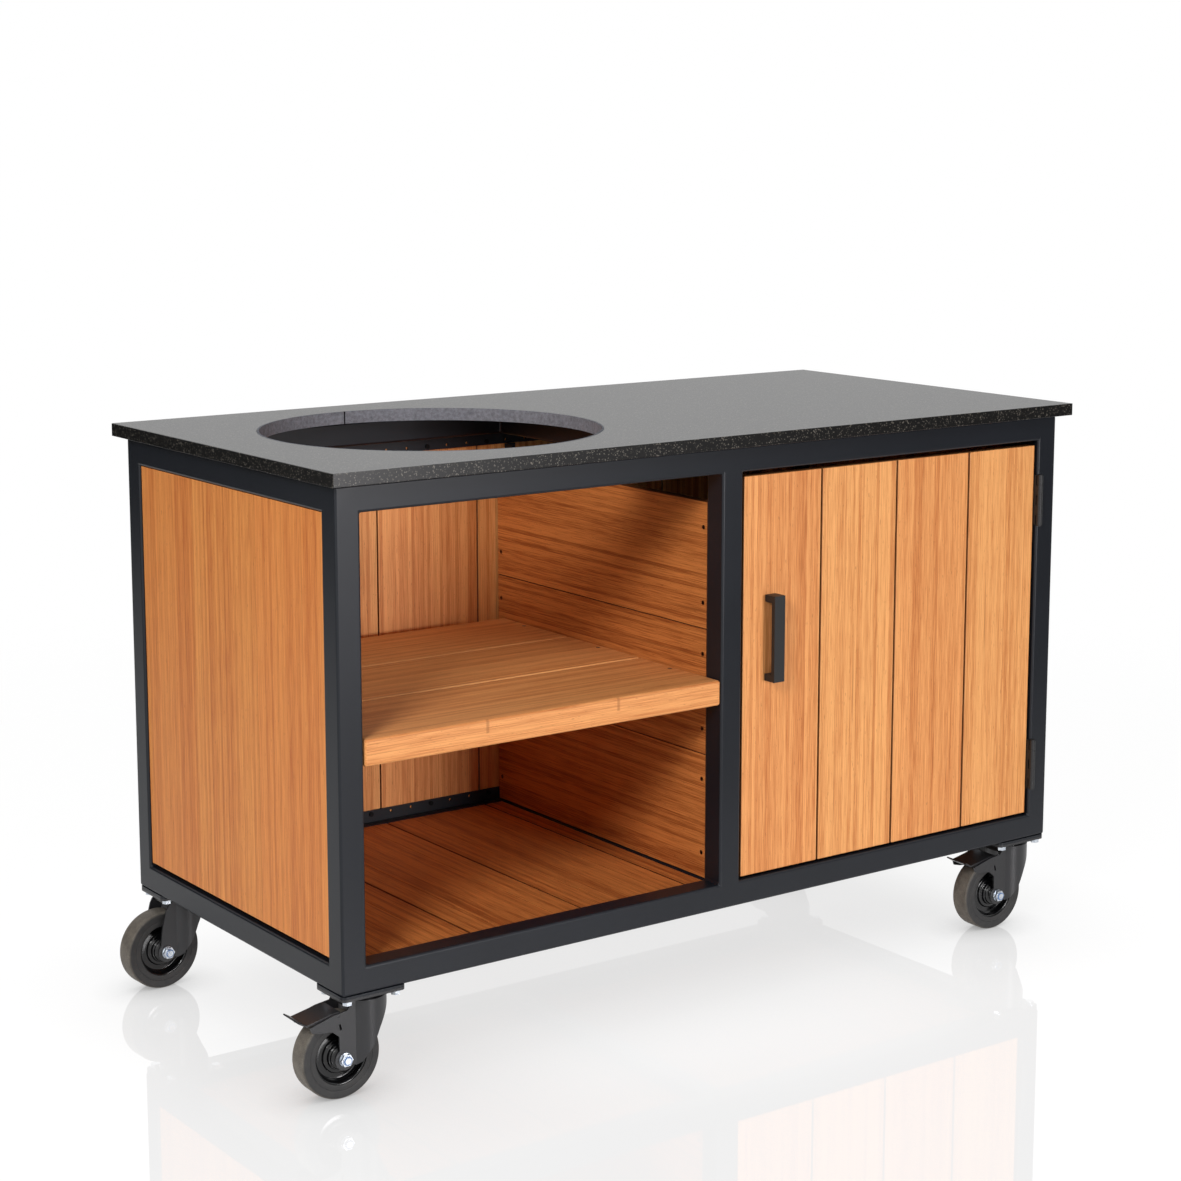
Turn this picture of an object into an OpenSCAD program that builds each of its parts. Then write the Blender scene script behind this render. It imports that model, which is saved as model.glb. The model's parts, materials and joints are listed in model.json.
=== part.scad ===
// Outdoor kitchen cabinet: a welded square-tube frame on four swivel casters, filled in with
// bamboo boards, with a stone worktop cut out for a round grill, an open bay with a shelf
// on the left and a cupboard with one door on the right.
// The origin is on the floor, in the middle of the whole footprint. +X is the viewer's right
// when facing the door, -Y is the front and +Z is up. All lengths are in millimetres.

/* [Frame] */
// Width of the steel frame
frame_w = 1400; // [1300:10:1800]
// Depth of the steel frame
frame_d = 650; // [620:10:800]
// Height of the steel frame, without casters and worktop
frame_h = 730; // [700:10:900]
// Side of the square tube
tube = 40; // [35:1:50]
// Wall of the square tube
tube_wall = 2; // [1.5:0.5:3]
// Outer corner radius of the square tube
tube_r = 3; // [2.5:0.5:5]
// Middle of the centre post, from the left end of the frame
post_mid = 700; // [660:10:800]

/* [Worktop] */
// Thickness of the stone worktop
slab_t = 20; // [15:1:40]
// Overhang of the worktop at the left and right ends
overhang_end = 15; // [5:1:40]
// Overhang of the worktop at the front and back
overhang_front = 22.5; // [5:0.5:40]
// Diameter of the round cut-out that takes the grill, inside its lining
cut_d = 530; // [400:10:550]
// Thickness of the felt lining in the cut-out
liner_t = 3; // [2:0.5:5]
// Thickness of the bedding tape between frame and worktop
bedding_t = 1.5; // [1:0.5:4]
// Width of the bedding tape
bedding_w = 24; // [10:1:30]

/* [Boards] */
// Width of a bamboo board
board_w = 199.5; // [140:0.5:240]
// Thickness of a bamboo board
board_t = 18; // [15:1:22]
// Gap between neighbouring boards
board_gap = 1.2; // [0.6:0.2:4]
// Clearance between a board's end and the tube beside it
board_clear = 1; // [0.5:0.5:3]
// Depth of a side or rear panel behind the outer face of the frame
panel_recess = 4; // [2:1:6]
// Gap below a side or rear panel
panel_drip = 7; // [3:1:10]
// Open height between the divider and the top rails
divider_space = 48.5; // [10:0.5:120]
// Depth of the floor boards below the top of the bottom rails
floor_drop = 2; // [0:1:6]

/* [Strips] */
// Height of the perforated strips that hold the panels
strip_h = 20; // [16:1:26]
// Thickness of the perforated strips
strip_t = 3; // [2:0.5:4]
// Distance between holes along a strip
strip_pitch = 40; // [30:5:60]
// Diameter of the holes in a strip
strip_hole_d = 5; // [4.5:0.5:6]
// Distance from the hole's middle to the free edge of the strip
strip_edge = 6.5; // [5:0.5:8]

/* [Shelf] */
// Height of the shelf's top above the bottom of the frame
shelf_top = 368.5; // [300:0.5:420]
// Height of the shelf's front lip
lip_h = 40; // [26:1:60]
// Thickness of the shelf's front lip
lip_t = 22; // [15:1:30]
// Gap between the shelf and the strips on the rear boards
shelf_back = 22; // [5:1:60]
// Clearance at each end of the shelf
shelf_clear = 2.5; // [1:0.5:4]
// Leg length of the steel angles under the shelf
angle_leg = 25; // [20:1:30]

/* [Door] */
// Recess of the door behind the front of the frame
door_recess = 5; // [2:0.5:8]
// Gap above the door
door_gap_top = 8; // [3:0.5:10]
// Gap below the door
door_gap_bottom = 4; // [3:0.5:8]
// Gap on the latch side of the door
door_gap_latch = 5.5; // [3:0.5:8]
// Width of a door board
door_board_w = 157.5; // [120:0.5:200]
// Gap between two door boards
door_seam = 2.5; // [1.5:0.5:4]
// Height of a batten behind the door
batten_h = 60; // [40:5:90]
// Distance from the door's top or bottom to the nearest batten
batten_inset = 70; // [50:5:120]

/* [Handle] */
// Length of the bar handle
handle_l = 137; // [100:1:200]
// Width of the bar handle
handle_w = 21; // [12:1:26]
// Thickness of the handle's bar
handle_t = 7.5; // [5:0.5:10]
// Reach of the handle in front of the door
handle_reach = 24; // [20:1:36]
// Height of each handle leg, seen from the front
handle_leg = 11; // [8:1:16]
// Middle of the handle, from the latch edge of the door
handle_in = 55; // [30:1:90]
// Middle of the handle above the middle of the door
handle_rise = 61; // [-60:1:80]

/* [Hinges] */
// Height of a butt hinge
hinge_h = 84; // [60:1:110]
// Outer diameter of the hinge knuckle
knuckle_d = 10; // [8:0.5:12]
// Diameter of the hinge pin
pin_d = 5; // [4:0.5:6]
// Thickness of a hinge leaf
leaf_t = 1.6; // [1.2:0.1:2.5]
// Width of a hinge leaf
leaf_w = 22; // [18:1:30]
// Middle of the upper hinge below the top of the door opening
hinge_down = 101; // [80:1:160]
// Middle of the lower hinge above the bottom of the door opening
hinge_up = 91; // [80:1:160]

/* [Casters] */
// Diameter of a caster wheel
wheel_d = 125; // [100:1:130]
// Width of the rubber tyre
tyre_w = 35; // [28:1:40]
// Diameter of the tyre's seat on the rim
seat_d = 90; // [70:1:100]
// Height of a caster from floor to mounting face
caster_h = 155; // [153:1:170]
// Horizontal distance from the swivel axis to the wheel's axle
trail = 42; // [36:1:48]
// Length of the mounting plate along the frame's width
plate_l = 105; // [100:1:130]
// Width of the mounting plate along the frame's depth
plate_w = 80; // [76:1:100]
// Thickness of the mounting plate
plate_t = 4; // [3:0.5:5]
// Thickness of the pad welded between the frame and a caster
pad_t = 4; // [4:0.5:8]
// Bolt spacing along the plate's length
bolt_x = 80; // [78:1:90]
// Bolt spacing along the plate's width
bolt_y = 60; // [58:1:68]
// Diameter of a plate bolt
bolt_d = 8; // [6:1:10]
// Diameter of the axle bolt
axle_d = 10; // [8:1:12]
// Outer radius of the fork's rounded head
fork_r = 37; // [34:1:38]
// Outer width across the fork legs
fork_w = 56; // [50:1:60]
// Sheet thickness of the fork
fork_t = 3; // [2:0.5:4]
// Distance from the swivel axis to the tip of the brake pedal
pedal_reach = 113; // [104:1:125]

/* [Hidden] */
$fn = 48;

// Colours
steel_black = [0.17, 0.18, 0.19];
stone_black = [0.22, 0.22, 0.22];
felt_grey = [0.36, 0.39, 0.43];
bamboo = [0.80, 0.50, 0.27];
bamboo_dark = [0.66, 0.38, 0.19];
matte_black = [0.08, 0.08, 0.08];
fork_black = [0.13, 0.13, 0.14];
rim_black = [0.04, 0.04, 0.05];
rubber_grey = [0.25, 0.25, 0.25];
zinc = [0.78, 0.80, 0.83];

// Heights and the footprint's middle
frame_z = caster_h + pad_t;
frame_top = frame_z + frame_h;
slab_z = frame_top + bedding_t;
origin_x = (frame_w + overhang_end + plate_l / 2 - pedal_reach) / 2;
origin_y = frame_d / 2;

// Bays
post_left = post_mid - tube / 2;
post_right = post_mid + tube / 2;
bay_h = frame_h - 2 * tube;
cut_x = (tube + post_left) / 2;
cut_y = frame_d / 2;
rear_board_y = frame_d - panel_recess - board_t;
divider_x = post_left + 2;
divider_h = bay_h - board_clear - divider_space;
floor_t = tube - floor_drop;
floor_z = floor_t - board_t;

// Screws
screw_r = 2;
screw_head_r = 4;
screw_head_h = 2.2;
screw_fit = 0.1;
screw_every = 3;

// Shelf
shelf_left = tube + shelf_clear;
shelf_right = divider_x - shelf_clear;
shelf_y = 1;
shelf_board_z = shelf_top - board_t;
shelf_front_w = board_w + 6;
shelf_d = rear_board_y - strip_t - shelf_back - shelf_y;

// Door
leaf_play = 0.6;
door_left = post_right + door_gap_latch;
door_right = frame_w - tube - 2 * leaf_t - leaf_play;
door_w = door_right - door_left;
door_z = tube + door_gap_bottom;
door_h = bay_h - door_gap_bottom - door_gap_top;
door_back = door_recess + board_t;
door_pitch = door_board_w + door_seam;
door_boards_n = ceil(door_w / door_pitch);
batten_side = 14;
hinge_x = frame_w - tube;
hinge_y = -knuckle_d / 2 - 0.5;
knuckles = 5;
knuckle_play = 0.3;
pin_play = 0.05;
pin_head_h = 2;
hinge_levels = [tube + hinge_up, frame_h - tube - hinge_down];
magnet_w = 15;
magnet_h = 46;
magnet_d = 15;
strike_t = 1.2;
strike_sink = 0.4;
strike_gap = 0.3;

// Casters
wheel_r = wheel_d / 2;
plate_z = caster_h - plate_t;
race_r = 29;
race_h = 4.5;
race_z = plate_z - race_h;
race_play = 0.3;
fork_top = race_z - race_play;
crown_t = 10;
kingpin_r = 6;
kingpin_play = 0.08;
rivet_r = 10;
rivet_h = 3;
leg_in = fork_w / 2 - fork_t;
hub_r = 19;
hub_face_r = 12;
hub_edge = 3;
hub_slope = 7;
disc_r = 28;
disc_mid = 9;
disc_half = 5;
rim_wall = 5;
tyre_lip = 1.5;
tyre_round = 4;
hub_l = fork_w - 2 * fork_t - 0.6;
axle_play = 0.08;
washer_r = 10;
washer_t = 1.6;
nut_af = 17;
nut_h = 7;
pad_r = 8;
bolt_head_af = 13;
bolt_head_h = 5.3;
pivot_u = trail + 10;
pivot_z = wheel_d + 3.5;
pivot_r = 2;
pedal_t = 2.5;
pedal_half = leg_in - 1;
swivel_angle_fl = 178.6;
swivel_angle_fr = 177.8;
swivel_angle_rl = 182.4;
swivel_angle_rr = 183;

// A square tube's outline with rounded corners, from 0 to its side on both axes
module rounded_square(w, h, r) {
    translate([r, 0]) square([w - 2 * r, h]);
    translate([0, r]) square([w, h - 2 * r]);
    for (x = [r, w - r], y = [r, h - r]) {
        translate([x, y]) circle(r = r, $fn = 32);
    }
}

// A length of square tube standing on end, its outer corner on the axis
module tube_bar(len) {
    color(steel_black)
    linear_extrude(len)
    difference() {
        rounded_square(tube, tube, tube_r);
        translate([tube_wall, tube_wall])
        rounded_square(tube - 2 * tube_wall, tube - 2 * tube_wall, tube_r - tube_wall + 0.5);
    }
}

// A post standing on the caster pad, its outer corner at x, y
module post(x, y) {
    translate([x, y, frame_z]) tube_bar(frame_h);
}

// A rail along X from x0 to x1, its lowest front corner at y, z
module rail_x(x0, x1, y, z) {
    translate([x0, y, frame_z + z + tube]) rotate([0, 90, 0]) tube_bar(x1 - x0);
}

// A rail along Y from y0 to y1, its lowest left corner at x, z
module rail_y(y0, y1, x, z) {
    translate([x, y0, frame_z + z + tube]) rotate([-90, 0, 0]) tube_bar(y1 - y0);
}

// A pair of rails along Y, one at the bottom and one at the top
module rail_pair(x) {
    rail_y(tube, frame_d - tube, x, 0);
    rail_y(tube, frame_d - tube, x, frame_h - tube);
}

// A flat pan-head screw pointing along +Y from the face that its head rests on
module pan_screw(len, r = screw_r) {
    rotate([-90, 0, 0]) cylinder(r = r, h = len);
    rotate([90, 0, 0]) cylinder(r = screw_head_r, h = screw_head_h);
}

// The hole that such a screw goes into
module screw_hole(len, r = screw_r + screw_fit) {
    rotate([-90, 0, 0]) cylinder(r = r, h = len);
}

// Panels are drawn in their own frame: X along the wall from the first post, Y outwards from
// the inner face of the strips, Z up from the bottom of the frame.
module at_rear() {
    translate([tube, rear_board_y - strip_t, frame_z]) children();
}
module at_left() {
    translate([panel_recess + board_t + strip_t, tube, frame_z]) rotate([0, 0, 90]) children();
}
module at_right() {
    translate([frame_w - panel_recess - board_t - strip_t, frame_d - tube, frame_z])
    rotate([0, 0, -90]) children();
}
side_len = frame_d - 2 * tube;
rear_len = frame_w - 2 * tube;

// Holes along a strip of a given length
function hole_count(len) = floor((len - strip_pitch) / strip_pitch) + 1;
function hole_start(len) = (len - (hole_count(len) - 1) * strip_pitch) / 2;
function hole_x(len, i) = hole_start(len) + i * strip_pitch;
strip_screw_len = strip_t + board_t - 5;
strip_holes_z = [tube + strip_h - strip_edge, frame_h - tube - strip_h + strip_edge];

// The two perforated strips of a wall, one on the bottom rail and one under the top rail
module wall_strips(len) {
    color(steel_black)
    for (k = [0, 1]) {
        difference() {
            translate([0, 0, k == 0 ? tube : frame_h - tube - strip_h]) cube([len, strip_t, strip_h]);
            for (i = [0 : hole_count(len) - 1]) {
                translate([hole_x(len, i), -1, strip_holes_z[k]]) screw_hole(strip_t + 2, strip_hole_d / 2);
            }
        }
    }
}

// Every third hole of a strip holds a screw
module at_wall_screws(len) {
    for (k = [0, 1], i = [0 : screw_every : hole_count(len) - 1]) {
        translate([hole_x(len, i), 0, strip_holes_z[k]]) children();
    }
}

// The upright boards of a wall, width by width, the last one cut to fit
module wall_boards(len, w) {
    span = len - 2 * board_clear;
    pitch = w + board_gap;
    color(bamboo)
    difference() {
        for (i = [0 : ceil(span / pitch) - 1]) {
            translate([board_clear + i * pitch, strip_t, tube + panel_drip])
            cube([min(w, span - i * pitch), board_t, bay_h - panel_drip - board_gap]);
        }
        at_wall_screws(len) screw_hole(strip_screw_len + 0.5);
    }
}

module wall_screws(len) {
    at_wall_screws(len) pan_screw(strip_screw_len);
}

// The divider's screws: two at each end of each board, their heads sunk in the left face
divider_y0 = tube + board_clear;
divider_y1 = rear_board_y - strip_t - board_clear;
divider_z = tube + board_clear;
divider_pitch = board_w + board_gap;
divider_n = ceil(divider_h / divider_pitch);
function divider_board_h(k) = min(board_w, divider_h - k * divider_pitch);
divider_in = 10;
divider_up = 40;
sunk_r = 3.5;
sunk_h = 2;
module at_divider_screws() {
    for (y = [tube + divider_in, divider_y1 - divider_in], k = [0 : divider_n - 1], s = [0, 1]) {
        h = divider_board_h(k);
        in = min(divider_up, h / 3);
        z = divider_z + k * divider_pitch + (s == 0 ? in : h - in);
        translate([divider_x, y, frame_z + z]) children();
    }
}
module sunk_screw(len, play = 0) {
    rotate([0, 90, 0]) cylinder(r = screw_r + play, h = len + play);
    rotate([0, 90, 0]) cylinder(r = sunk_r + play, h = sunk_h + play);
}

// Upright strips behind the divider, one on the centre post and one angle on the rear boards
module divider_strips() {
    x = divider_x + board_t;
    h = bay_h - board_clear;
    color(steel_black)
    difference() {
        union() {
            translate([x, tube, frame_z + tube]) cube([strip_t, strip_h, h]);
            translate([x, rear_board_y - strip_t - strip_h, frame_z + tube + strip_h + 1])
            cube([strip_t, strip_h, bay_h - 2 * strip_h - 2]);
            translate([x, rear_board_y - strip_t, frame_z + tube + strip_h + 1])
            cube([strip_h, strip_t, bay_h - 2 * strip_h - 2]);
        }
        at_divider_screws() sunk_screw(board_t + strip_t + 1, screw_fit);
    }
}

module divider_boards() {
    color(bamboo_dark)
    difference() {
        for (k = [0 : divider_n - 1]) {
            translate([divider_x, divider_y0, frame_z + divider_z + k * divider_pitch])
            cube([board_t, divider_y1 - divider_y0, divider_board_h(k)]);
        }
        at_divider_screws() translate([-0.01, 0, 0]) sunk_screw(board_t + 1, screw_fit);
    }
}

module panel_screws() {
    color(zinc) {
        at_rear() wall_screws(rear_len);
        at_left() wall_screws(side_len);
        at_right() wall_screws(side_len);
    }
    color(matte_black) at_divider_screws() sunk_screw(board_t + strip_t);
}

// Steel angles along the front and rear bottom rails that carry the floor boards
module floor_ledges() {
    color(steel_black)
    for (bay = [[tube, post_left], [post_right, frame_w - tube]]) {
        len = bay[1] - bay[0];
        translate([bay[0], tube, frame_z]) {
            cube([len, strip_t, floor_z]);
            translate([0, 0, floor_z - strip_t]) cube([len, strip_h, strip_t]);
        }
        translate([bay[0], frame_d - tube - strip_h, frame_z]) {
            translate([0, strip_h - strip_t, 0]) cube([len, strip_t, floor_z]);
            translate([0, 0, floor_z - strip_t]) cube([len, strip_h, strip_t]);
        }
    }
}

// Floor boards run from front to back and are laid between the rails of each bay
module floor_boards() {
    pitch = board_w + board_gap;
    color(bamboo_dark)
    for (bay = [[tube, post_left], [post_right, frame_w - tube]]) {
        span = bay[1] - bay[0] - 2 * board_clear;
        for (i = [0 : ceil(span / pitch) - 1]) {
            translate([bay[0] + board_clear + i * pitch, tube + board_clear, frame_z + floor_z])
            cube([min(board_w, span - i * pitch), frame_d - 2 * tube - 2 * board_clear, board_t]);
        }
    }
}

// Stone worktop with the round cut-out
module worktop() {
    color(stone_black)
    difference() {
        translate([-overhang_end, -overhang_front, slab_z])
        cube([frame_w + 2 * overhang_end, frame_d + 2 * overhang_front, slab_t]);
        translate([cut_x, cut_y, slab_z - 1]) cylinder(d = cut_d + 2 * liner_t, h = slab_t + 2, $fn = 128);
    }
}

module worktop_bedding() {
    side = (tube - bedding_w) / 2;
    color(matte_black)
    translate([0, 0, frame_top])
    difference() {
        translate([side, side, 0]) cube([frame_w - 2 * side, frame_d - 2 * side, bedding_t]);
        translate([tube - side, tube - side, -1])
        cube([frame_w - 2 * tube + 2 * side, frame_d - 2 * tube + 2 * side, bedding_t + 2]);
    }
}

// Felt band round the inside of the cut-out
module cutout_liner() {
    color(felt_grey)
    translate([cut_x, cut_y, slab_z])
    difference() {
        cylinder(d = cut_d + 2 * liner_t, h = slab_t, $fn = 128);
        translate([0, 0, -1]) cylinder(d = cut_d, h = slab_t + 2, $fn = 128);
    }
}

// The shelf's screws, one through each board's end into the angle below
shelf_screw_in = 12;
shelf_screw_back = 80;
shelf_screw_len = board_t + strip_t;
module at_shelf_screws() {
    mids = [shelf_y + shelf_front_w / 2 + lip_t / 2,
        shelf_y + shelf_front_w + board_gap + board_w / 2,
        shelf_y + shelf_d - shelf_screw_back];
    for (x = [shelf_left + shelf_screw_in, shelf_right - shelf_screw_in], y = mids) {
        translate([x, y, frame_z + shelf_top]) children();
    }
}
module down_screw(len, play = 0) {
    translate([0, 0, -len - play]) cylinder(r = screw_r + play, h = len + play);
    translate([0, 0, -sunk_h - play]) cylinder(r = sunk_r + play, h = sunk_h + play + (play > 0 ? 0.01 : 0));
}

module shelf_boards() {
    w = shelf_right - shelf_left;
    rest_y = shelf_y + shelf_front_w + board_gap;
    last_y = rest_y + board_w + board_gap;
    color(bamboo)
    translate([0, 0, frame_z])
    difference() {
        union() {
            translate([shelf_left, shelf_y, shelf_board_z]) cube([w, shelf_front_w, board_t]);
            translate([shelf_left, shelf_y, shelf_top - lip_h]) cube([w, lip_t, lip_h - board_t + 1]);
            translate([shelf_left, rest_y, shelf_board_z]) cube([w, board_w, board_t]);
            translate([shelf_left, last_y, shelf_board_z]) cube([w, shelf_y + shelf_d - last_y, board_t]);
        }
        translate([0, 0, -frame_z]) at_shelf_screws() down_screw(board_t + 1, screw_fit);
    }
}

// Steel angles under the shelf: one between the left posts, one on the divider
module shelf_angles() {
    z = frame_z + shelf_board_z;
    color(steel_black)
    difference() {
        union() {
            translate([tube - strip_t, tube, z - angle_leg]) cube([strip_t, side_len, angle_leg]);
            translate([tube - strip_t, tube, z - strip_t]) cube([angle_leg, side_len, strip_t]);
            translate([divider_x - strip_t, divider_y0, z - angle_leg])
            cube([strip_t, side_len - 5, angle_leg]);
            translate([divider_x - angle_leg, divider_y0, z - strip_t])
            cube([angle_leg, side_len - 5, strip_t]);
        }
        at_shelf_screws() down_screw(shelf_screw_len + 1, screw_fit);
    }
}

module shelf_screws() {
    color(matte_black) at_shelf_screws() down_screw(shelf_screw_len);
}

// The door's boards stand side by side, the last one cut to the door's width
module door_boards() {
    color(bamboo)
    difference() {
        for (i = [0 : door_boards_n - 1]) {
            translate([door_left + i * door_pitch, door_recess, frame_z + door_z])
            cube([min(door_board_w, door_w - i * door_pitch), board_t, door_h]);
        }
        at_batten_screws() rotate([0, 0, 180]) screw_hole(batten_screw_len + 0.5);
        at_handle_screws() screw_hole(board_t + 2, handle_screw_r + screw_fit);
        at_leaf_screws() translate([0.01, 0, 0]) leaf_screw(screw_fit);
        strike_recess();
        at_strike_screws() rotate([0, 0, 180]) strike_screw(screw_fit);
    }
}

// Two battens across the back of the door, screwed on from behind
batten_t = board_t;
batten_screw_len = batten_t + board_t - 6;
batten_left = door_left + magnet_w + batten_side + 10;
batten_right = door_right - batten_side;
batten_levels = [door_z + batten_inset, door_z + door_h - batten_inset - batten_h];
module at_batten_screws() {
    for (z = batten_levels, i = [0 : door_boards_n - 1], s = [0, 1]) {
        left = max(door_left + i * door_pitch, batten_left);
        right = min(door_left + i * door_pitch + door_board_w, batten_right);
        x = s == 0 ? left + 25 : right - 25;
        translate([x, door_back + batten_t, frame_z + z + batten_h / 2]) children();
    }
}
module door_battens() {
    color(bamboo_dark)
    difference() {
        for (z = batten_levels) {
            translate([batten_left, door_back, frame_z + z])
            cube([batten_right - batten_left, batten_t, batten_h]);
        }
        at_batten_screws() rotate([0, 0, 180]) screw_hole(batten_screw_len + 0.5);
    }
}

// Screws through the hinge leaves into the door's edge and into the post
leaf_screw_r = 1.6;
leaf_head_r = 3;
leaf_screw_len = 14;
leaf_screw_y = [door_recess + 5, door_back - 5];
module at_leaf_screws() {
    for (z = hinge_levels, y = [0, 1], k = [-1, 1]) {
        translate([door_right + leaf_t, leaf_screw_y[y], frame_z + z + k * (18 + 10 * y)])
        children();
    }
}
module leaf_screw(play = 0) {
    rotate([0, -90, 0]) cylinder(r = leaf_screw_r + play, h = leaf_screw_len + play);
    rotate([0, -90, 0]) cylinder(r = leaf_head_r + play, h = leaf_t - 0.4 + play);
}
module door_screws() {
    color(zinc) at_batten_screws() rotate([0, 0, 180]) pan_screw(batten_screw_len);
    color(matte_black) at_leaf_screws() leaf_screw();
    color(zinc) at_strike_screws() rotate([0, 0, 180]) strike_screw();
}

// The handle is one flat bar on two square legs
handle_x = door_left + handle_in;
handle_y = door_recess - handle_reach;
handle_z = frame_z + door_z + door_h / 2 + handle_rise;
handle_screw_r = 2;
handle_tap = 12;
module at_handle_screws() {
    for (k = [-1, 1]) {
        translate([handle_x, door_back, handle_z + k * (handle_l - handle_leg) / 2])
        rotate([0, 0, 180]) children();
    }
}
module handle() {
    color(matte_black)
    difference() {
        union() {
            translate([handle_x - handle_w / 2, handle_y, handle_z - handle_l / 2])
            cube([handle_w, handle_t, handle_l]);
            for (k = [0, 1]) {
                z = handle_z + (k == 0 ? -handle_l / 2 : handle_l / 2 - handle_leg);
                translate([handle_x - handle_w / 2, handle_y + handle_t - 1, z])
                cube([handle_w, handle_reach - handle_t + 1, handle_leg]);
            }
        }
        at_handle_screws() screw_hole(board_t + handle_tap + 0.5, handle_screw_r + screw_fit);
    }
}
module handle_screws() {
    color(zinc) at_handle_screws() pan_screw(board_t + handle_tap, handle_screw_r);
}

// Butt hinges: knuckles 1, 3 and 5 belong to the frame's leaf, 2 and 4 to the door's
leaf_y0 = hinge_y + knuckle_d / 2 + 0.5;
module knuckle_ring(k) {
    h = hinge_h / knuckles;
    translate([hinge_x, hinge_y, -hinge_h / 2 + k * h + knuckle_play / 2])
    cylinder(d = knuckle_d, h = h - knuckle_play, $fn = 40);
}
module knuckle_tab(k, x) {
    h = hinge_h / knuckles;
    translate([x, hinge_y + 1, -hinge_h / 2 + k * h + knuckle_play / 2])
    cube([leaf_t, leaf_y0 - hinge_y, h - knuckle_play]);
}
module leaf_body(x, ks) {
    difference() {
        union() {
            translate([x, leaf_y0, -hinge_h / 2]) cube([leaf_t, leaf_w, hinge_h]);
            for (k = ks) {
                knuckle_ring(k);
                knuckle_tab(k, x);
            }
        }
        translate([hinge_x, hinge_y, -hinge_h])
        cylinder(d = pin_d + 2 * pin_play, h = 2 * hinge_h, $fn = 40);
    }
}
module hinge_frame_leaves() {
    color(matte_black)
    for (z = hinge_levels) {
        translate([0, 0, frame_z + z]) leaf_body(hinge_x - leaf_t, [0, 2, 4]);
    }
}
module hinge_door_leaves() {
    color(matte_black)
    difference() {
        for (z = hinge_levels) {
            translate([0, 0, frame_z + z]) leaf_body(door_right, [1, 3]);
        }
        at_leaf_screws() translate([0.01, 0, 0]) leaf_screw(screw_fit);
    }
}
module hinge_pins() {
    color(zinc)
    for (z = hinge_levels) {
        translate([hinge_x, hinge_y, frame_z + z - hinge_h / 2]) {
            cylinder(d = pin_d, h = hinge_h, $fn = 40);
            for (e = [-pin_head_h + knuckle_play / 2, hinge_h - knuckle_play / 2]) {
                translate([0, 0, e]) cylinder(d = knuckle_d - 2, h = pin_head_h, $fn = 40);
            }
        }
    }
}

// A magnetic catch behind the latch edge holds the door by a small steel plate
latch_z = frame_z + frame_h / 2 - magnet_h / 2;
strike_face = door_back - strike_sink + strike_t;
strike_w = magnet_w - 2;
module door_magnet() {
    color(matte_black)
    translate([post_right, strike_face + strike_gap, latch_z])
    cube([door_gap_latch + magnet_w, magnet_d, magnet_h]);
}
module strike_recess() {
    translate([door_left + 2, strike_face - strike_t, latch_z + 4]) cube([strike_w, strike_t, magnet_h - 8]);
}
strike_screw_len = 10;
module at_strike_screws() {
    for (k = [-1, 1]) {
        translate([door_left + 2 + strike_w / 2, strike_face, latch_z + magnet_h / 2 + k * 12])
        children();
    }
}
module strike_screw(play = 0) {
    rotate([-90, 0, 0]) cylinder(r = 1.2 + play, h = strike_screw_len + play);
}
module strike_plate() {
    color(zinc)
    difference() {
        strike_recess();
        at_strike_screws() rotate([0, 0, 180]) translate([0, -1, 0]) strike_screw(screw_fit);
    }
}

// Casters are drawn in their own frame: the swivel axis is Z, the wheel trails along +X
module at_caster(right, rear, angle) {
    x = right ? frame_w - plate_l / 2 : plate_l / 2;
    y = rear ? frame_d - plate_w / 2 : plate_w / 2;
    translate([x, y, 0]) rotate([0, 0, angle]) children();
}
module at_all_plates() {
    for (right = [false, true], rear = [false, true]) {
        at_caster(right, rear, 0) children();
    }
}
module at_plate_bolts() {
    for (x = [-bolt_x / 2, bolt_x / 2], y = [-bolt_y / 2, bolt_y / 2]) {
        translate([x, y, 0]) children();
    }
}
module plate_outline(r) {
    translate([-plate_l / 2, -plate_w / 2]) rounded_square(plate_l, plate_w, r);
}

// Pads welded under the frame's corners, tapped for the caster bolts
module caster_pads() {
    color(steel_black)
    at_all_plates()
    difference() {
        translate([0, 0, caster_h]) linear_extrude(pad_t) plate_outline(pad_r);
        at_plate_bolts() translate([0, 0, caster_h - 1]) cylinder(d = bolt_d + 0.2, h = pad_t + 2);
    }
}

// Caster plate with its ball race and the riveted kingpin
module caster_plates() {
    color(fork_black)
    at_all_plates()
    difference() {
        union() {
            translate([0, 0, plate_z]) linear_extrude(plate_t) plate_outline(pad_r);
            translate([0, 0, race_z]) cylinder(r = race_r, h = race_h + 1);
            translate([0, 0, fork_top - crown_t - 1]) cylinder(r = kingpin_r, h = crown_t + 2);
            translate([0, 0, fork_top - crown_t - race_play - rivet_h]) cylinder(r = rivet_r, h = rivet_h);
        }
        at_plate_bolts() translate([0, 0, plate_z - 1]) cylinder(d = bolt_d + 1, h = plate_t + 2);
    }
}

module caster_bolts() {
    color(zinc)
    at_all_plates() at_plate_bolts() {
        translate([0, 0, plate_z - washer_t - 1]) cylinder(d = bolt_d, h = plate_t + pad_t + washer_t);
        translate([0, 0, plate_z - washer_t]) cylinder(d = 2 * bolt_d, h = washer_t);
        translate([0, 0, plate_z - washer_t - bolt_head_h])
        cylinder(d = bolt_head_af / cos(30), h = bolt_head_h, $fn = 6);
    }
}

// The fork is pressed sheet: a round head that runs into two flat legs. Its plan outline is
// cut by a side profile, with a wing behind the wheel's top on casters with a brake.
module fork_plan(shrink, reach) {
    circle(r = fork_r - shrink);
    translate([0, -fork_w / 2 + shrink]) square([reach, fork_w - 2 * shrink]);
}
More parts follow.
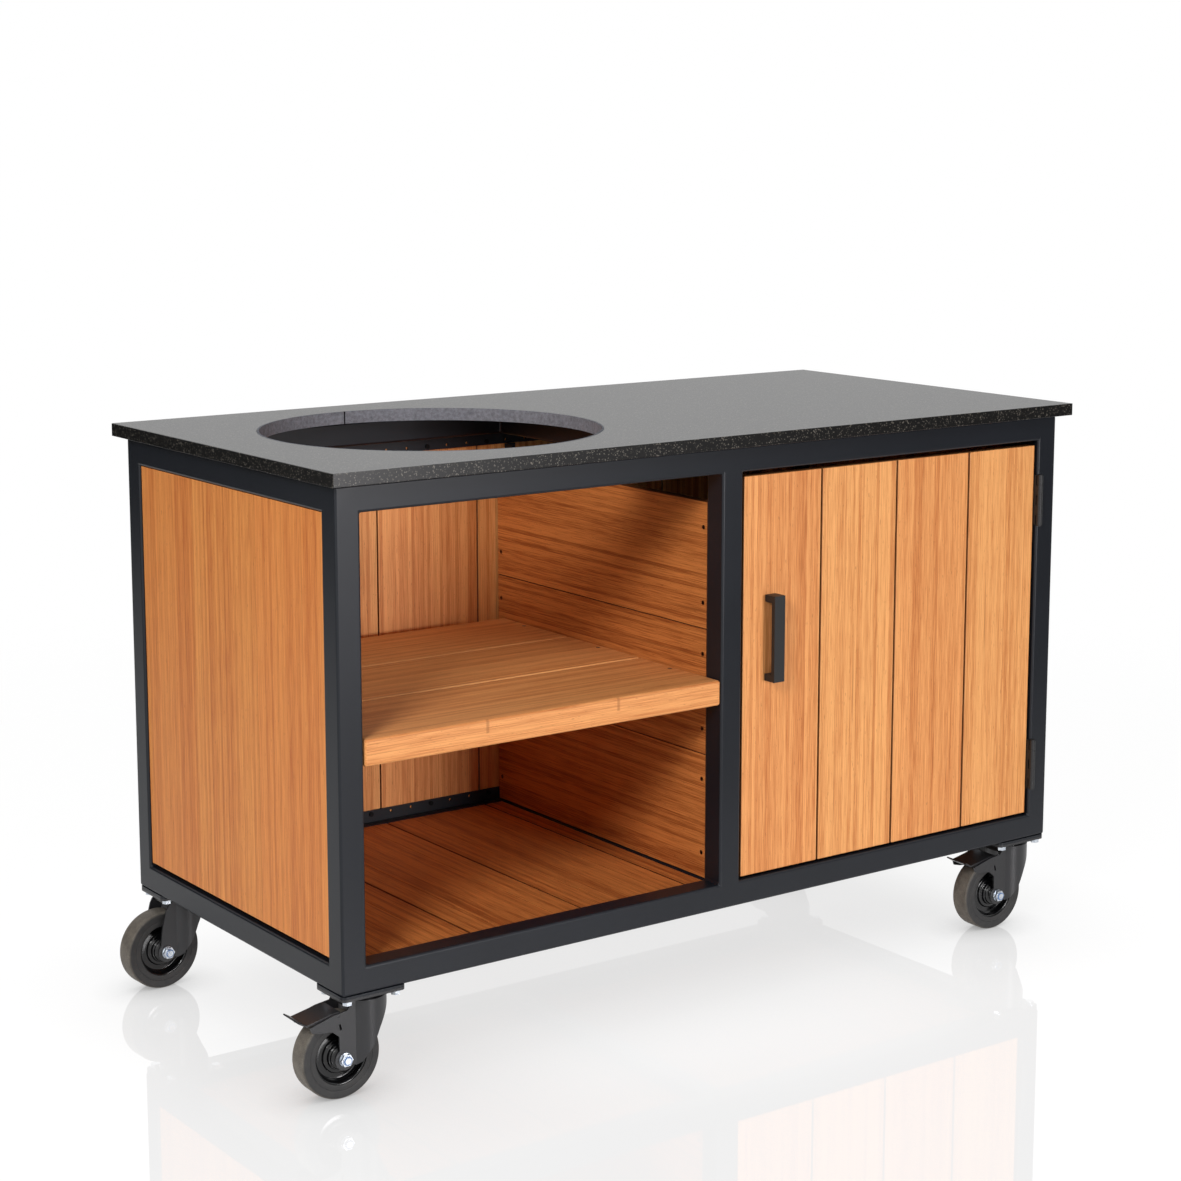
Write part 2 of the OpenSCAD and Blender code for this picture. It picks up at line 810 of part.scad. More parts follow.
// Points of the side profile: lengths are counted in head radii, heights from the axle (0)
// to the fork's top (1)
leg_h = fork_top - wheel_r;
boss_r = 16;
function side(u, f) = [u * fork_r, wheel_r + f * leg_h];
fork_front = [side(-1.08, 1), side(-1, 0.93), side(-0.32, 0.47), side(0.02, 0.16),
    side(0.44, -0.08), side(0.65, -0.14), side(1.135, -0.036)];
fork_back_plain = [side(1.459, 0), side(1.351, 0.46), side(1.135, 0.818), side(1.027, 0.904)];
fork_back_wing = [side(1.351, 0), side(1.378, 0.424), side(1.676, 0.532), side(2.216, 0.556),
    side(2.54, 0.591), side(2.62, 0.687), side(1.62, 0.818), side(1, 0.857)];
// The neck stays inside the circle that the plate's bolt heads leave free, so the fork can turn
head_clear = 0.4;
head_low = plate_z - washer_t - bolt_head_h - head_clear;
head_free = norm([bolt_x, bolt_y]) / 2 - bolt_head_af / cos(30) / 2 - head_clear;
neck = sqrt(pow(head_free, 2) - pow(fork_w / 2, 2));
fork_neck = [[neck, head_low], [neck, fork_top]];
module fork_side(brake) {
    rotate([90, 0, 0])
    translate([0, 0, -fork_w])
    linear_extrude(2 * fork_w)
    polygon(concat(fork_front, brake ? fork_back_wing : fork_back_plain, fork_neck));
    translate([trail, fork_w, wheel_r]) rotate([90, 0, 0]) cylinder(r = boss_r, h = 2 * fork_w);
}
slot_r = 1.5;
slot_l = 7;
slot_tilt = 14;
slot_at = side(1.324, 0.591);
module fork(brake) {
    reach = pedal_reach - 3;
    low = wheel_r - 2 * boss_r;
    color(fork_black)
    difference() {
        intersection() {
            translate([0, 0, low]) linear_extrude(fork_top - low) fork_plan(0, reach);
            fork_side(brake);
        }
        translate([0, 0, low - 1]) linear_extrude(fork_top - crown_t - low + 1) fork_plan(fork_t, reach + 10);
        translate([fork_r - 2, -leg_in, fork_top - crown_t - 1]) cube([reach, 2 * leg_in, crown_t + 2]);
        translate([0, 0, fork_top - crown_t - 1]) cylinder(r = kingpin_r + kingpin_play, h = crown_t + 2);
        translate([trail, fork_w, wheel_r]) rotate([90, 0, 0]) cylinder(d = axle_d + 0.2, h = 2 * fork_w);
        if (brake) {
            translate([slot_at[0], fork_w, slot_at[1]]) rotate([90, slot_tilt, 0]) {
                translate([-slot_r, -slot_l / 2, 0]) cube([2 * slot_r, slot_l, 2 * fork_w]);
                for (e = [-1, 1]) {
                    translate([0, e * slot_l / 2, 0]) cylinder(r = slot_r, h = 2 * fork_w);
                }
            }
            translate([pivot_u, fork_w, pivot_z]) rotate([90, 0, 0])
            cylinder(r = pivot_r + 0.08, h = 2 * fork_w);
        }
    }
}

// Axle bolt with washers, a hexagon head at one end and a locking nut at the other
module axle() {
    half = fork_w / 2 + washer_t;
    color(zinc)
    translate([trail, 0, wheel_r])
    rotate([-90, 0, 0]) {
        translate([0, 0, -half - 1]) cylinder(d = axle_d, h = 2 * half + 2 + nut_h);
        for (e = [-half, half - washer_t]) {
            translate([0, 0, e]) cylinder(r = washer_r, h = washer_t);
        }
        translate([0, 0, -half - nut_h]) cylinder(d = nut_af / cos(30), h = nut_h, $fn = 6);
        translate([0, 0, half]) cylinder(d = nut_af / cos(30), h = nut_h - 2, $fn = 6);
        translate([0, 0, half]) cylinder(d = nut_af - 3, h = nut_h);
    }
}

// Moulded rim: hub, stepped disc and tyre seat, turned about the axle
module rim() {
    seat = seat_d / 2;
    half = hub_l / 2;
    edge = tyre_w / 2 - tyre_lip;
    one_side = [[axle_d / 2 + axle_play, half], [hub_face_r, half], [hub_face_r + 1, half - hub_edge],
        [hub_r, half - hub_slope], [hub_r, disc_mid], [disc_r - 1, disc_mid - 1], [disc_r, disc_half],
        [seat - rim_wall - 3, disc_half], [seat - rim_wall, edge], [seat, edge]];
    color(rim_black)
    translate([trail, 0, wheel_r])
    rotate([90, 0, 0])
    rotate_extrude($fn = 96)
    polygon(concat(one_side, [for (i = [len(one_side) - 1 : -1 : 0]) [one_side[i][0], -one_side[i][1]]]));
}

// Solid rubber tyre with rounded shoulders
module tyre() {
    half = tyre_w / 2;
    seat = seat_d / 2;
    round = tyre_round;
    color(rubber_grey)
    translate([trail, 0, wheel_r])
    rotate([90, 0, 0])
    rotate_extrude($fn = 96)
    polygon(concat([[seat, -half + tyre_lip], [seat + tyre_lip, -half]],
        [for (a = [-90 : 15 : 0]) [wheel_r - round + round * cos(a), -half + round + round * sin(a)]],
        [for (a = [0 : 15 : 90]) [wheel_r - round + round * cos(a), half - round + round * sin(a)]],
        [[seat + tyre_lip, half], [seat, half - tyre_lip]]));
}

// Foot pedal of the brake: a sheet channel on stub pins in the fork's wings, with a shoe over
// the tyre and a turned-up lip for the toe
pedal_top = [[pivot_u - 5, pivot_z + 5], [pivot_u + 8, pivot_z + 4],
    [pedal_reach - 12, pivot_z - 5], [pedal_reach - 1, pivot_z + 1.5]];
pedal_lip = [[pedal_reach, pivot_z - 0.5], [pedal_reach - 13, pivot_z - 5.5 - pedal_t]];
pedal_under = [[pivot_u + 8, pivot_z + 4 - pedal_t], [pivot_u - 5, pivot_z + 5 - pedal_t]];
cheek = [[pivot_u - 5, pivot_z + 4.5], [pivot_u - 5, pivot_z - 3], [pivot_u + 6, pivot_z - 3],
    [pivot_u + 36, pivot_z - 9.5], [pivot_u + 36, pivot_z - 2.5]];
shoe_l = 12;
shoe_w = 24;
shoe_gap = 0.5;
module brake() {
    color(fork_black)
    difference() {
        union() {
            rotate([90, 0, 0])
            translate([0, 0, -pedal_half])
            linear_extrude(2 * pedal_half)
            polygon(concat(pedal_top, pedal_lip, pedal_under));
            for (e = [-pedal_half, pedal_half - pedal_t]) {
                translate([0, e + pedal_t, 0])
                rotate([90, 0, 0])
                linear_extrude(pedal_t)
                polygon(cheek);
            }
            translate([pivot_u + 5, -shoe_w / 2, wheel_d - 5]) cube([shoe_l, shoe_w, pivot_z + 7 - wheel_d]);
            for (e = [-1, 1]) {
                translate([pivot_u, e * (fork_w / 2 - fork_t), pivot_z])
                rotate([90, 0, 0])
                cylinder(r = pivot_r, h = 2 * fork_t, center = true);
            }
        }
        translate([trail, shoe_w, wheel_r])
        rotate([90, 0, 0])
        cylinder(r = wheel_r + shoe_gap, h = 2 * shoe_w, $fn = 96);
    }
}

// The cabinet's own corner is moved to the middle of the footprint
module placed() {
    translate([-origin_x, -origin_y, 0]) children();
}
module at_fl() { placed() at_caster(false, false, swivel_angle_fl) children(); }
module at_fr() { placed() at_caster(true, false, swivel_angle_fr) children(); }
module at_rl() { placed() at_caster(false, true, swivel_angle_rl) children(); }
module at_rr() { placed() at_caster(true, true, swivel_angle_rr) children(); }

placed() post(0, 0);  // front_left_post
placed() post(frame_w - tube, 0);  // front_right_post
placed() post(0, frame_d - tube);  // rear_left_post
placed() post(frame_w - tube, frame_d - tube);  // rear_right_post
placed() translate([post_left, 0, frame_z + tube]) tube_bar(bay_h);  // centre_post
placed() rail_x(tube, frame_w - tube, 0, frame_h - tube);  // front_top_rail
placed() rail_x(tube, frame_w - tube, 0, 0);  // front_bottom_rail
placed() rail_x(tube, frame_w - tube, frame_d - tube, frame_h - tube);  // rear_top_rail
placed() rail_x(tube, frame_w - tube, frame_d - tube, 0);  // rear_bottom_rail
placed() rail_pair(0);  // left_rails
placed() rail_pair(frame_w - tube);  // right_rails
placed() rail_pair(post_left);  // centre_rails
placed() caster_pads();
placed() at_left() wall_strips(side_len);  // left_panel_strips
placed() at_right() wall_strips(side_len);  // right_panel_strips
placed() at_rear() wall_strips(rear_len);  // rear_panel_strips
placed() divider_strips();
placed() floor_ledges();
placed() at_left() wall_boards(side_len, side_len);  // left_panel
placed() at_right() wall_boards(side_len, side_len);  // right_panel
placed() at_rear() wall_boards(rear_len, board_w);  // rear_boards
placed() divider_boards();
placed() floor_boards();
placed() panel_screws();
placed() worktop();
placed() worktop_bedding();
placed() cutout_liner();
placed() shelf_boards();
placed() shelf_angles();
placed() shelf_screws();
placed() door_boards();
placed() door_battens();
placed() door_screws();
placed() handle();
placed() handle_screws();
placed() hinge_frame_leaves();
placed() hinge_door_leaves();
placed() hinge_pins();
placed() door_magnet();
placed() strike_plate();
placed() caster_plates();
placed() caster_bolts();
at_fl() fork(true);  // front_left_fork
at_fl() axle();  // front_left_axle
at_fl() rim();  // front_left_rim
at_fl() tyre();  // front_left_tyre
at_fl() brake();  // front_left_brake
at_fr() fork(true);  // front_right_fork
at_fr() axle();  // front_right_axle
at_fr() rim();  // front_right_rim
at_fr() tyre();  // front_right_tyre
at_fr() brake();  // front_right_brake
at_rl() fork(false);  // rear_left_fork
at_rl() axle();  // rear_left_axle
at_rl() rim();  // rear_left_rim
at_rl() tyre();  // rear_left_tyre
at_rr() fork(false);  // rear_right_fork
at_rr() axle();  // rear_right_axle
at_rr() rim();  // rear_right_rim
at_rr() tyre();  // rear_right_tyre
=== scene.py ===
# %% [markdown]
# # An outdoor kitchen cabinet on casters
# The cabinet is a welded frame of square steel tube on four casters, filled in with bamboo
# boards and topped with black stone. Its construction comes in as a fixed frame of real-size
# CAD parts. This file gives every part its finish, and swaps the plain boards, tubes and
# wheels for rounded ones.

import json
import math
import bmesh
import bpy
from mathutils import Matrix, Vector


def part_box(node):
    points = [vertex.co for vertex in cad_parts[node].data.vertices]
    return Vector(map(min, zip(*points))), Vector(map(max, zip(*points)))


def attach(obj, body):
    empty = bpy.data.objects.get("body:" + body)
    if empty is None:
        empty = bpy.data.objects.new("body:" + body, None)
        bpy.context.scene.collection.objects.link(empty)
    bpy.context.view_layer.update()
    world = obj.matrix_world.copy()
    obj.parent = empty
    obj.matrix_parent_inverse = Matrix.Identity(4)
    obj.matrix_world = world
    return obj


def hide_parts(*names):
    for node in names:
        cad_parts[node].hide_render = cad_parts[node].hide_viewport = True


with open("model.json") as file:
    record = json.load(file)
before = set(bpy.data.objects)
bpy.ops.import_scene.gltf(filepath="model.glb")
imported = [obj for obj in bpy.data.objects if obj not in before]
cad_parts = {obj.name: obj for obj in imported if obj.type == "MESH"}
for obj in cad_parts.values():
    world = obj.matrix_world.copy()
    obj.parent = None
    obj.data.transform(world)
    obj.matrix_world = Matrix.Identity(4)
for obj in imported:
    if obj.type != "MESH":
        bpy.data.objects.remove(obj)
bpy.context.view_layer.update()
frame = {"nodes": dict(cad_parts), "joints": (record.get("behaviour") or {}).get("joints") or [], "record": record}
nodes = frame["nodes"]
MM = 0.001

# %% [markdown]
# ## The camera
# The photograph was taken with a long lens, a little above the worktop, looking past the
# front left corner. A camera could be placed by eye, but then the edges never quite meet. Here
# the lens, the place and the small shift of the picture were solved from the cabinet's own
# straight edges, so the render can be laid over the photograph.

# %% Set up the camera
PHOTO_SIDE = 1181
FOCAL_PX = 2496.57
HORIZON_SHIFT_PX = 74.13
SENSOR_MM = 36.0
CAMERA_PLACE = (-2.3642, -3.2621, 1.3910)
LOOK_DOWN = 9.153
LOOK_RIGHT = 35.79

camera_data = bpy.data.cameras.new("camera")
camera_data.sensor_width = SENSOR_MM
camera_data.lens = FOCAL_PX * SENSOR_MM / PHOTO_SIDE
camera_data.shift_y = -HORIZON_SHIFT_PX / PHOTO_SIDE
camera = bpy.data.objects.new("camera", camera_data)
bpy.context.scene.collection.objects.link(camera)
camera.location = CAMERA_PLACE
camera.rotation_euler = (math.radians(90 - LOOK_DOWN), 0, math.radians(-LOOK_RIGHT))
bpy.context.scene.camera = camera
bpy.context.scene.view_settings.view_transform = "Standard"
print("camera lens", round(camera_data.lens, 1), "mm")

# %% [markdown]
# ## Helpers for node trees
# Materials and Geometry Nodes are both trees of nodes. They could be wired by hand in Blender's
# node editors, but in code they can be read, repeated and changed. One helper adds a node, sets
# its options and fills its inputs: an input is either a plain value or another node's output.

# %% Add nodes and link them
def fill(tree, node, inputs):
    """Sets a node's inputs, by name or number, to plain values or to other nodes' outputs."""
    for key, value in dict(inputs).items():
        if isinstance(value, bpy.types.Node):
            value = value.outputs[0]
        if isinstance(value, bpy.types.NodeSocket):
            tree.links.new(value, node.inputs[key])
        else:
            node.inputs[key].default_value = value


def add(tree, kind, inputs=(), **options):
    """Adds a node to a tree, sets its options and fills its inputs."""
    node = tree.nodes.new(kind)
    for key, value in options.items():
        setattr(node, key, value)
    fill(tree, node, inputs)
    return node


def math_node(tree, operation, a, b=0.0, c=0.0):
    return add(tree, "ShaderNodeMath", {0: a, 1: b, 2: c}, operation=operation).outputs[0]


def times(tree, a, b):
    return math_node(tree, "MULTIPLY", a, b)


def vector_math(tree, operation, a, b=(0, 0, 0)):
    """Scaling takes a plain number, and that goes into the node's fourth input."""
    second = 3 if operation == "SCALE" else 1
    return add(tree, "ShaderNodeVectorMath", {0: a, second: b}, operation=operation).outputs[0]


def between(tree, value, low, high):
    """Gives low where the value is 0 and high where it is 1."""
    return math_node(tree, "MULTIPLY_ADD", value, high - low, low)


def above(tree, value, low, high):
    """0 below low, 1 above high and a smooth step between."""
    return add(tree, "ShaderNodeMapRange", {"Value": value, "From Min": low, "From Max": high},
               interpolation_type="SMOOTHSTEP").outputs[0]


print("node helpers ready")

# %% Start a material
def new_material(name):
    """A material, its tree and the one shader that its surface starts with."""
    material = bpy.data.materials.new(name)
    material.use_nodes = True
    tree = material.node_tree
    tree.nodes.clear()
    shader = add(tree, "ShaderNodeBsdfPrincipled")
    add(tree, "ShaderNodeOutputMaterial", {"Surface": shader})
    return material, tree, shader


def object_coordinates(tree):
    return add(tree, "ShaderNodeTexCoord").outputs["Object"]


def noise(tree, vector, scale, detail=2.0, roughness=0.5):
    """Soft random values from 0 to 1. The scale is about the number of features per metre."""
    node = add(tree, "ShaderNodeTexNoise",
               {"Vector": vector, "Scale": scale, "Detail": detail, "Roughness": roughness})
    return node.outputs["Fac"]


def bump(tree, height, strength, distance):
    """Small bumps. The distance is their height in metres at full strength."""
    node = add(tree, "ShaderNodeBump", {"Strength": strength, "Distance": distance, "Height": height})
    return node.outputs["Normal"]


print("material helpers ready")

# %% Mix and pick colours
def ramp(tree, factor, *stops):
    """A colour ramp from (place, (r, g, b)) pairs."""
    node = add(tree, "ShaderNodeValToRGB", {0: factor})
    elements = node.color_ramp.elements
    while len(elements) < len(stops):
        elements.new(0.5)
    for element, (place, colour) in zip(elements, stops):
        element.position = place
        element.color = (*colour, 1)
    return node.outputs["Color"]


def mix(tree, factor, a, b, blend="MIX"):
    """Colour a where the factor is 0 and colour b where it is 1."""
    colours = [c if isinstance(c, bpy.types.NodeSocket) else (*c, 1) for c in (a, b)]
    node = add(tree, "ShaderNodeMix", {0: factor, 6: colours[0], 7: colours[1]}, data_type="RGBA",
               blend_type=blend)
    return node.outputs[2]


def srgb(r, g, b):
    """A colour picked as 0 to 255 screen values, in the linear values that shaders use."""
    return tuple(((v / 255 + 0.055) / 1.055) ** 2.4 if v > 10 else v / 255 / 12.92 for v in (r, g, b))


def shaded(colour, times):
    """A colour made darker, or lighter up to full white."""
    return tuple(min(1, c * times) for c in colour)


print("screen grey 128 is", round(srgb(128, 128, 128)[0], 3), "in linear light")

# %% [markdown]
# ## Powder-coated steel
# The frame is anthracite powder coat: almost black, with a very fine grain that breaks up
# reflections. A picture of the coating could be laid over the tubes, but it would stretch and
# repeat. So a fine noise, which fills space by itself, drives the bumps and a small change in
# roughness, and a broad noise lets the colour drift a little.

# %% Powder coat and black steel
def powder_coat(name, colour, grain=900.0, roughness=0.42, depth=0.12 * MM, gloss=0.45):
    """The grain is the number of grains per metre, and the depth is the height of the bumps."""
    material, tree, shader = new_material(name)
    place = object_coordinates(tree)
    fine = noise(tree, place, grain, detail=3.0, roughness=0.6)
    broad = noise(tree, place, 6.0)
    fill(tree, shader, {
        "Base Color": ramp(tree, broad, (0.3, shaded(colour, 0.88)), (0.7, shaded(colour, 1.12))),
        "Roughness": between(tree, fine, roughness - 0.08, roughness + 0.08),
        "Specular IOR Level": gloss,
        "Normal": bump(tree, fine, 0.35, depth)})
    return material


frame_paint = powder_coat("frame_powder_coat", srgb(19, 22, 28), roughness=0.4, gloss=0.3)
black_paint = powder_coat("matte_black_steel", srgb(16, 16, 17), grain=1400.0, roughness=0.52)
screw_black = powder_coat("blackened_screws", srgb(7, 7, 7), grain=1400.0, roughness=0.6, gloss=0.12)
fork_paint = powder_coat("caster_satin_black", srgb(34, 34, 36), grain=500.0, roughness=0.36,
                         depth=0.05 * MM)
print("four black coats made")

# %% [markdown]
# ## Plated, moulded and taped parts
# Bolts and axles are zinc-plated, with a cloudy bloom. The screws of the shelf are plated
# black, the rims are glossy black, the nuts hold a blue nylon ring, and black tape beds the
# worktop. Each could have one flat colour, but real surfaces drift a little. One function
# serves all: a noise moves between two tones, and on bright parts it moves the roughness too.

# %% Zinc, rim, nylon and tape
def mottled(name, scale, dull, bright, roughness, detail=2.0, grit=0.5, metallic=0.0):
    """The roughness is one number, or a pair: its lowest and its highest value."""
    material, tree, shader = new_material(name)
    cloud = noise(tree, object_coordinates(tree), scale, detail, grit)
    if isinstance(roughness, tuple):
        roughness = between(tree, cloud, *roughness)
    fill(tree, shader, {"Base Color": ramp(tree, cloud, (0.3, dull), (0.7, bright)),
                        "Roughness": roughness, "Metallic": metallic})
    return material


def zinc_plate(name, dull, bright):
    return mottled(name, 160.0, dull, bright, (0.18, 0.43), detail=3.0, grit=0.6, metallic=1.0)


zinc = zinc_plate("zinc_plate", srgb(176, 184, 196), srgb(214, 218, 222))
black_zinc = zinc_plate("black_zinc_plate", srgb(52, 50, 48), srgb(92, 88, 84))
rim_black = mottled("gloss_black", 90.0, srgb(8, 8, 9), srgb(14, 14, 16), (0.1, 0.2))
nylon = mottled("blue_nylon", 1500.0, srgb(44, 84, 142), srgb(84, 128, 184), 0.4)
tape = mottled("black_tape", 700.0, srgb(16, 16, 16), srgb(26, 25, 24), 0.8)
print("two zincs, rim, nylon and tape made")

# %% [markdown]
# ## Bamboo boards
# The boards are laminated from bamboo strips about 6 mm wide, stood on edge and glued. Each
# strip has its own shade, fine fibres along its length, and here and there a dark mark. Wood
# could be drawn with rings, as on a sawn trunk, but cane has none. So the shade is a sum of
# noises, all drawn out along the grain, from broad clouds down to single fibres. Every board
# carries a number that shifts its pattern, so that no two boards look the same.

# %% Noise along the grain, and a shade for each strip
STRIP = 6.3 * MM


def grain_noise(tree, place, along, across, down, detail=2.0):
    """Noise drawn out along the grain, with so many features per metre across it and down it."""
    scales = [down if axis == along else across for axis in range(3)]
    return noise(tree, vector_math(tree, "MULTIPLY", place, scales), 1.0, detail, roughness=0.6)


def strip_chance(tree, axes, along):
    """One random value from 0 to 1 for each glued strip."""
    strips = [math_node(tree, "FLOOR", times(tree, axes[axis], 1 / STRIP))
              for axis in range(3) if axis != along]
    number = add(tree, "ShaderNodeCombineXYZ", dict(enumerate(strips)))
    return add(tree, "ShaderNodeTexWhiteNoise", {"Vector": number}).outputs["Value"]


print("a board of 200 mm shows about", round(200 * MM / STRIP), "strips")

# %% The marks in the cane
LINE_STRENGTH, DASH_STRENGTH, FLECK_STRENGTH, JOINT_STRENGTH = 0.55, 0.5, 0.6, 0.5
# Joints of the cane show only above this height and in front of this place along Y, in metres
JOINT_FOOT = 0.507
JOINT_BACK = -0.321


def dark_marks(tree, place, along, contrast):
    """1 on long dark hairlines between fibres and on short dark dashes."""
    lines = above(tree, grain_noise(tree, place, along, across=380.0, down=2.4), 0.64, 0.76)
    dashes = above(tree, grain_noise(tree, place, along, across=560.0, down=85.0, detail=1.0), 0.68, 0.78)
    return math_node(tree, "MAXIMUM", times(tree, lines, LINE_STRENGTH * contrast),
                     times(tree, dashes, DASH_STRENGTH))


def end_joints(tree, axes, along, spots):
    """1 on a short line at each spot along the grain, on the upper part of the shelf's lip."""
    away = [math_node(tree, "ABSOLUTE", math_node(tree, "SUBTRACT", axes[along], spot)) for spot in spots]
    nearest = away[0]
    for other in away[1:]:
        nearest = math_node(tree, "MINIMUM", nearest, other)
    line = math_node(tree, "SUBTRACT", 1.0, above(tree, nearest, 0.8 * MM, 4.0 * MM))
    upper = math_node(tree, "GREATER_THAN", axes[2], JOINT_FOOT)
    in_front = math_node(tree, "LESS_THAN", axes[1], JOINT_BACK)
    return times(tree, line, times(tree, upper, in_front))


print("dark lines are mixed in at", LINE_STRENGTH, "and short dashes at", DASH_STRENGTH)

# %% The bamboo
# Features per metre across and down the grain, and each layer's share of the shade
GRAIN_LAYERS = ((9.0, 0.9, 0.25), (260.0, 2.4, 0.15), (640.0, 8.0, 0.7), (1300.0, 18.0, 1.1))
FIBRE_SHARE = 0.6
# How far each board's pattern is moved from the one before, in metres
BOARD_SHIFT = (3.71, 1.93, 2.57)
PALER = (1.03, 1.1, 1.12)


def bamboo(name, along, light, dark, contrast=1.0, tint=1.0, strip_share=0.3, edge_shade_or_highlight=None, joints=()):
    """along is the axis of the grain: 0 for X, 1 for Y, 2 for Z. tint is how much paler every second board is, and
    joints gives the places of joints along the grain. The narrow sides get painted shade, or a given edge colour
    as a painted highlight."""
    material, tree, shader = new_material(name)
    number = add(tree, "ShaderNodeAttribute", attribute_name="board").outputs["Fac"]
    steps = [times(tree, number, step) for step in BOARD_SHIFT]
    shift = add(tree, "ShaderNodeCombineXYZ", dict(enumerate(steps)))
    place = vector_math(tree, "ADD", object_coordinates(tree), shift)
    axes = add(tree, "ShaderNodeSeparateXYZ", {0: place}).outputs
    # The shade swings round the middle of the colour ramp
    fibre = grain_noise(tree, place, along, across=2200.0, down=20.0, detail=3.0)
    layers = [(strip_chance(tree, axes, along), strip_share)]
    layers += [(grain_noise(tree, place, along, across, down), share) for across, down, share in GRAIN_LAYERS]
    layers += [(fibre, FIBRE_SHARE)]
    shade = 0.5 - contrast * sum(share for _, share in layers) / 2
    for value, share in layers:
        shade = math_node(tree, "MULTIPLY_ADD", value, share * contrast, shade)
    colour = ramp(tree, shade, (0.0, shaded(dark, 0.62)), (0.3, dark), (0.62, light),
                  (1.0, shaded(light, 1.2)))
    marks = dark_marks(tree, place, along, contrast)
    colour = mix(tree, marks, colour, shaded(dark, 0.5))
    # Little dark flecks where the cane's vessels were cut open
    flecks = above(tree, grain_noise(tree, place, along, across=900.0, down=330.0, detail=1.0), 0.7, 0.8)
    colour = mix(tree, times(tree, flecks, FLECK_STRENGTH), colour, shaded(dark, 0.45))
    if joints:
        line = end_joints(tree, axes, along, joints)
        colour = mix(tree, times(tree, line, JOINT_STRENGTH), colour, shaded(dark, 0.6))
    # Every second board is a little paler than its neighbours
    odd = times(tree, math_node(tree, "MODULO", number, 2.0), tint)
    colour = mix(tree, odd, colour, mix(tree, 1.0, colour, PALER, "MULTIPLY"))
    # The narrow sides get painted shade, which darkens the seams between boards; a given edge colour is painted
    # there as a highlight instead
    edge = add(tree, "ShaderNodeAttribute", attribute_name="edge").outputs["Fac"]
    painted_edge = times(tree, above(tree, edge, 0.25, 1.0), 0.75)
    fill(tree, shader, {
        "Base Color": mix(tree, painted_edge, colour, edge_shade_or_highlight or shaded(dark, 0.18)),
        "Roughness": between(tree, fibre, 0.38, 0.63),
        "Specular IOR Level": 0.3,
        "Normal": bump(tree, math_node(tree, "SUBTRACT", fibre, marks), 0.4, 0.15 * MM)})
    return material


print("bamboo's shade has", len(GRAIN_LAYERS) + 2, "layers")

# %% Five bamboos, by the way the boards lie
WOOD_LIGHT = srgb(232, 161, 97)
WOOD_DARK = srgb(198, 119, 62)
# A painted highlight for the narrow sides of boards that lie sideways, which draws the shelf's lit seams
SIDEWAYS_EDGE_HIGHLIGHT = srgb(255, 196, 128)
LIP_JOINTS = (-0.429, -0.194)

upright_bamboo = bamboo("bamboo_upright", 2, WOOD_LIGHT, WOOD_DARK, contrast=0.95)
side_bamboo = bamboo("bamboo_side_panels", 2, srgb(234, 151, 80), srgb(200, 110, 52), contrast=0.75)
wall_bamboo = bamboo("bamboo_rear_wall", 2, WOOD_LIGHT, WOOD_DARK, contrast=0.75, strip_share=0.4)
sideways_bamboo = bamboo("bamboo_sideways", 0, WOOD_LIGHT, WOOD_DARK, contrast=0.8, tint=0.3,
                         edge_shade_or_highlight=SIDEWAYS_EDGE_HIGHLIGHT, joints=LIP_JOINTS)
deep_bamboo = bamboo("bamboo_front_to_back", 1, srgb(202, 125, 64), srgb(153, 81, 35), tint=0.4)
print("five bamboos made, the shelf's with", len(sideways_bamboo.node_tree.nodes), "nodes")

# %% [markdown]
# ## Stone
# The worktop is honed black stone: even and semi-matt on top, with fine pale specks that show
# best on the cut edge. A noise alone would give clouds, and a real speck is a separate grain
# with a hard outline. So a Voronoi texture splits the stone into small cells, and white noise
# picks the few cells that are pale.

# %% Black stone
# The share of the stone's cells that stay dark
DARK_SHARE = 0.88


def black_stone():
    material, tree, shader = new_material("black_stone")
    place = object_coordinates(tree)
    cells = add(tree, "ShaderNodeTexVoronoi", {"Vector": place, "Scale": 640.0})
    pick = add(tree, "ShaderNodeTexWhiteNoise", {"Vector": cells.outputs["Position"]}).outputs["Value"]
    speck = add(tree, "ShaderNodeMapRange", {"Value": pick, "From Min": DARK_SHARE})
    grain = noise(tree, place, 900.0, detail=3.0, roughness=0.6)
    base = ramp(tree, grain, (0.35, srgb(8, 8, 8)), (0.65, srgb(24, 23, 22)))
    fill(tree, shader, {
        "Base Color": mix(tree, times(tree, speck, 0.6), base, srgb(142, 136, 126)),
        "Roughness": between(tree, grain, 0.24, 0.39),
        "Specular IOR Level": 0.33,
        "Normal": bump(tree, grain, 0.2, 0.1 * MM)})
    return material


stone = black_stone()
print("stone made, with specks in", round(100 * (1 - DARK_SHARE)), "% of its cells")

# %% [markdown]
# ## Felt and rubber
# The band in the cut-out is grey felt, with one dark seam where its two ends meet. The tyres
# are dark rubber, paler and dustier on the tread. To model fuzz and dust would take millions
# of points, so two noises stand in for it, one for the fine grain and one for its clouds.

# %% Grey felt with its seam
# The seam's place round the cut-out in degrees, and half its width as an angle in radians
SEAM_DEGREES = 90.0
SEAM_HALF_WIDTH = 0.005


def weigh(tree, a, b, share):
    """A share of a and the rest of b."""
    return math_node(tree, "MULTIPLY_ADD", a, share, times(tree, b, 1 - share))


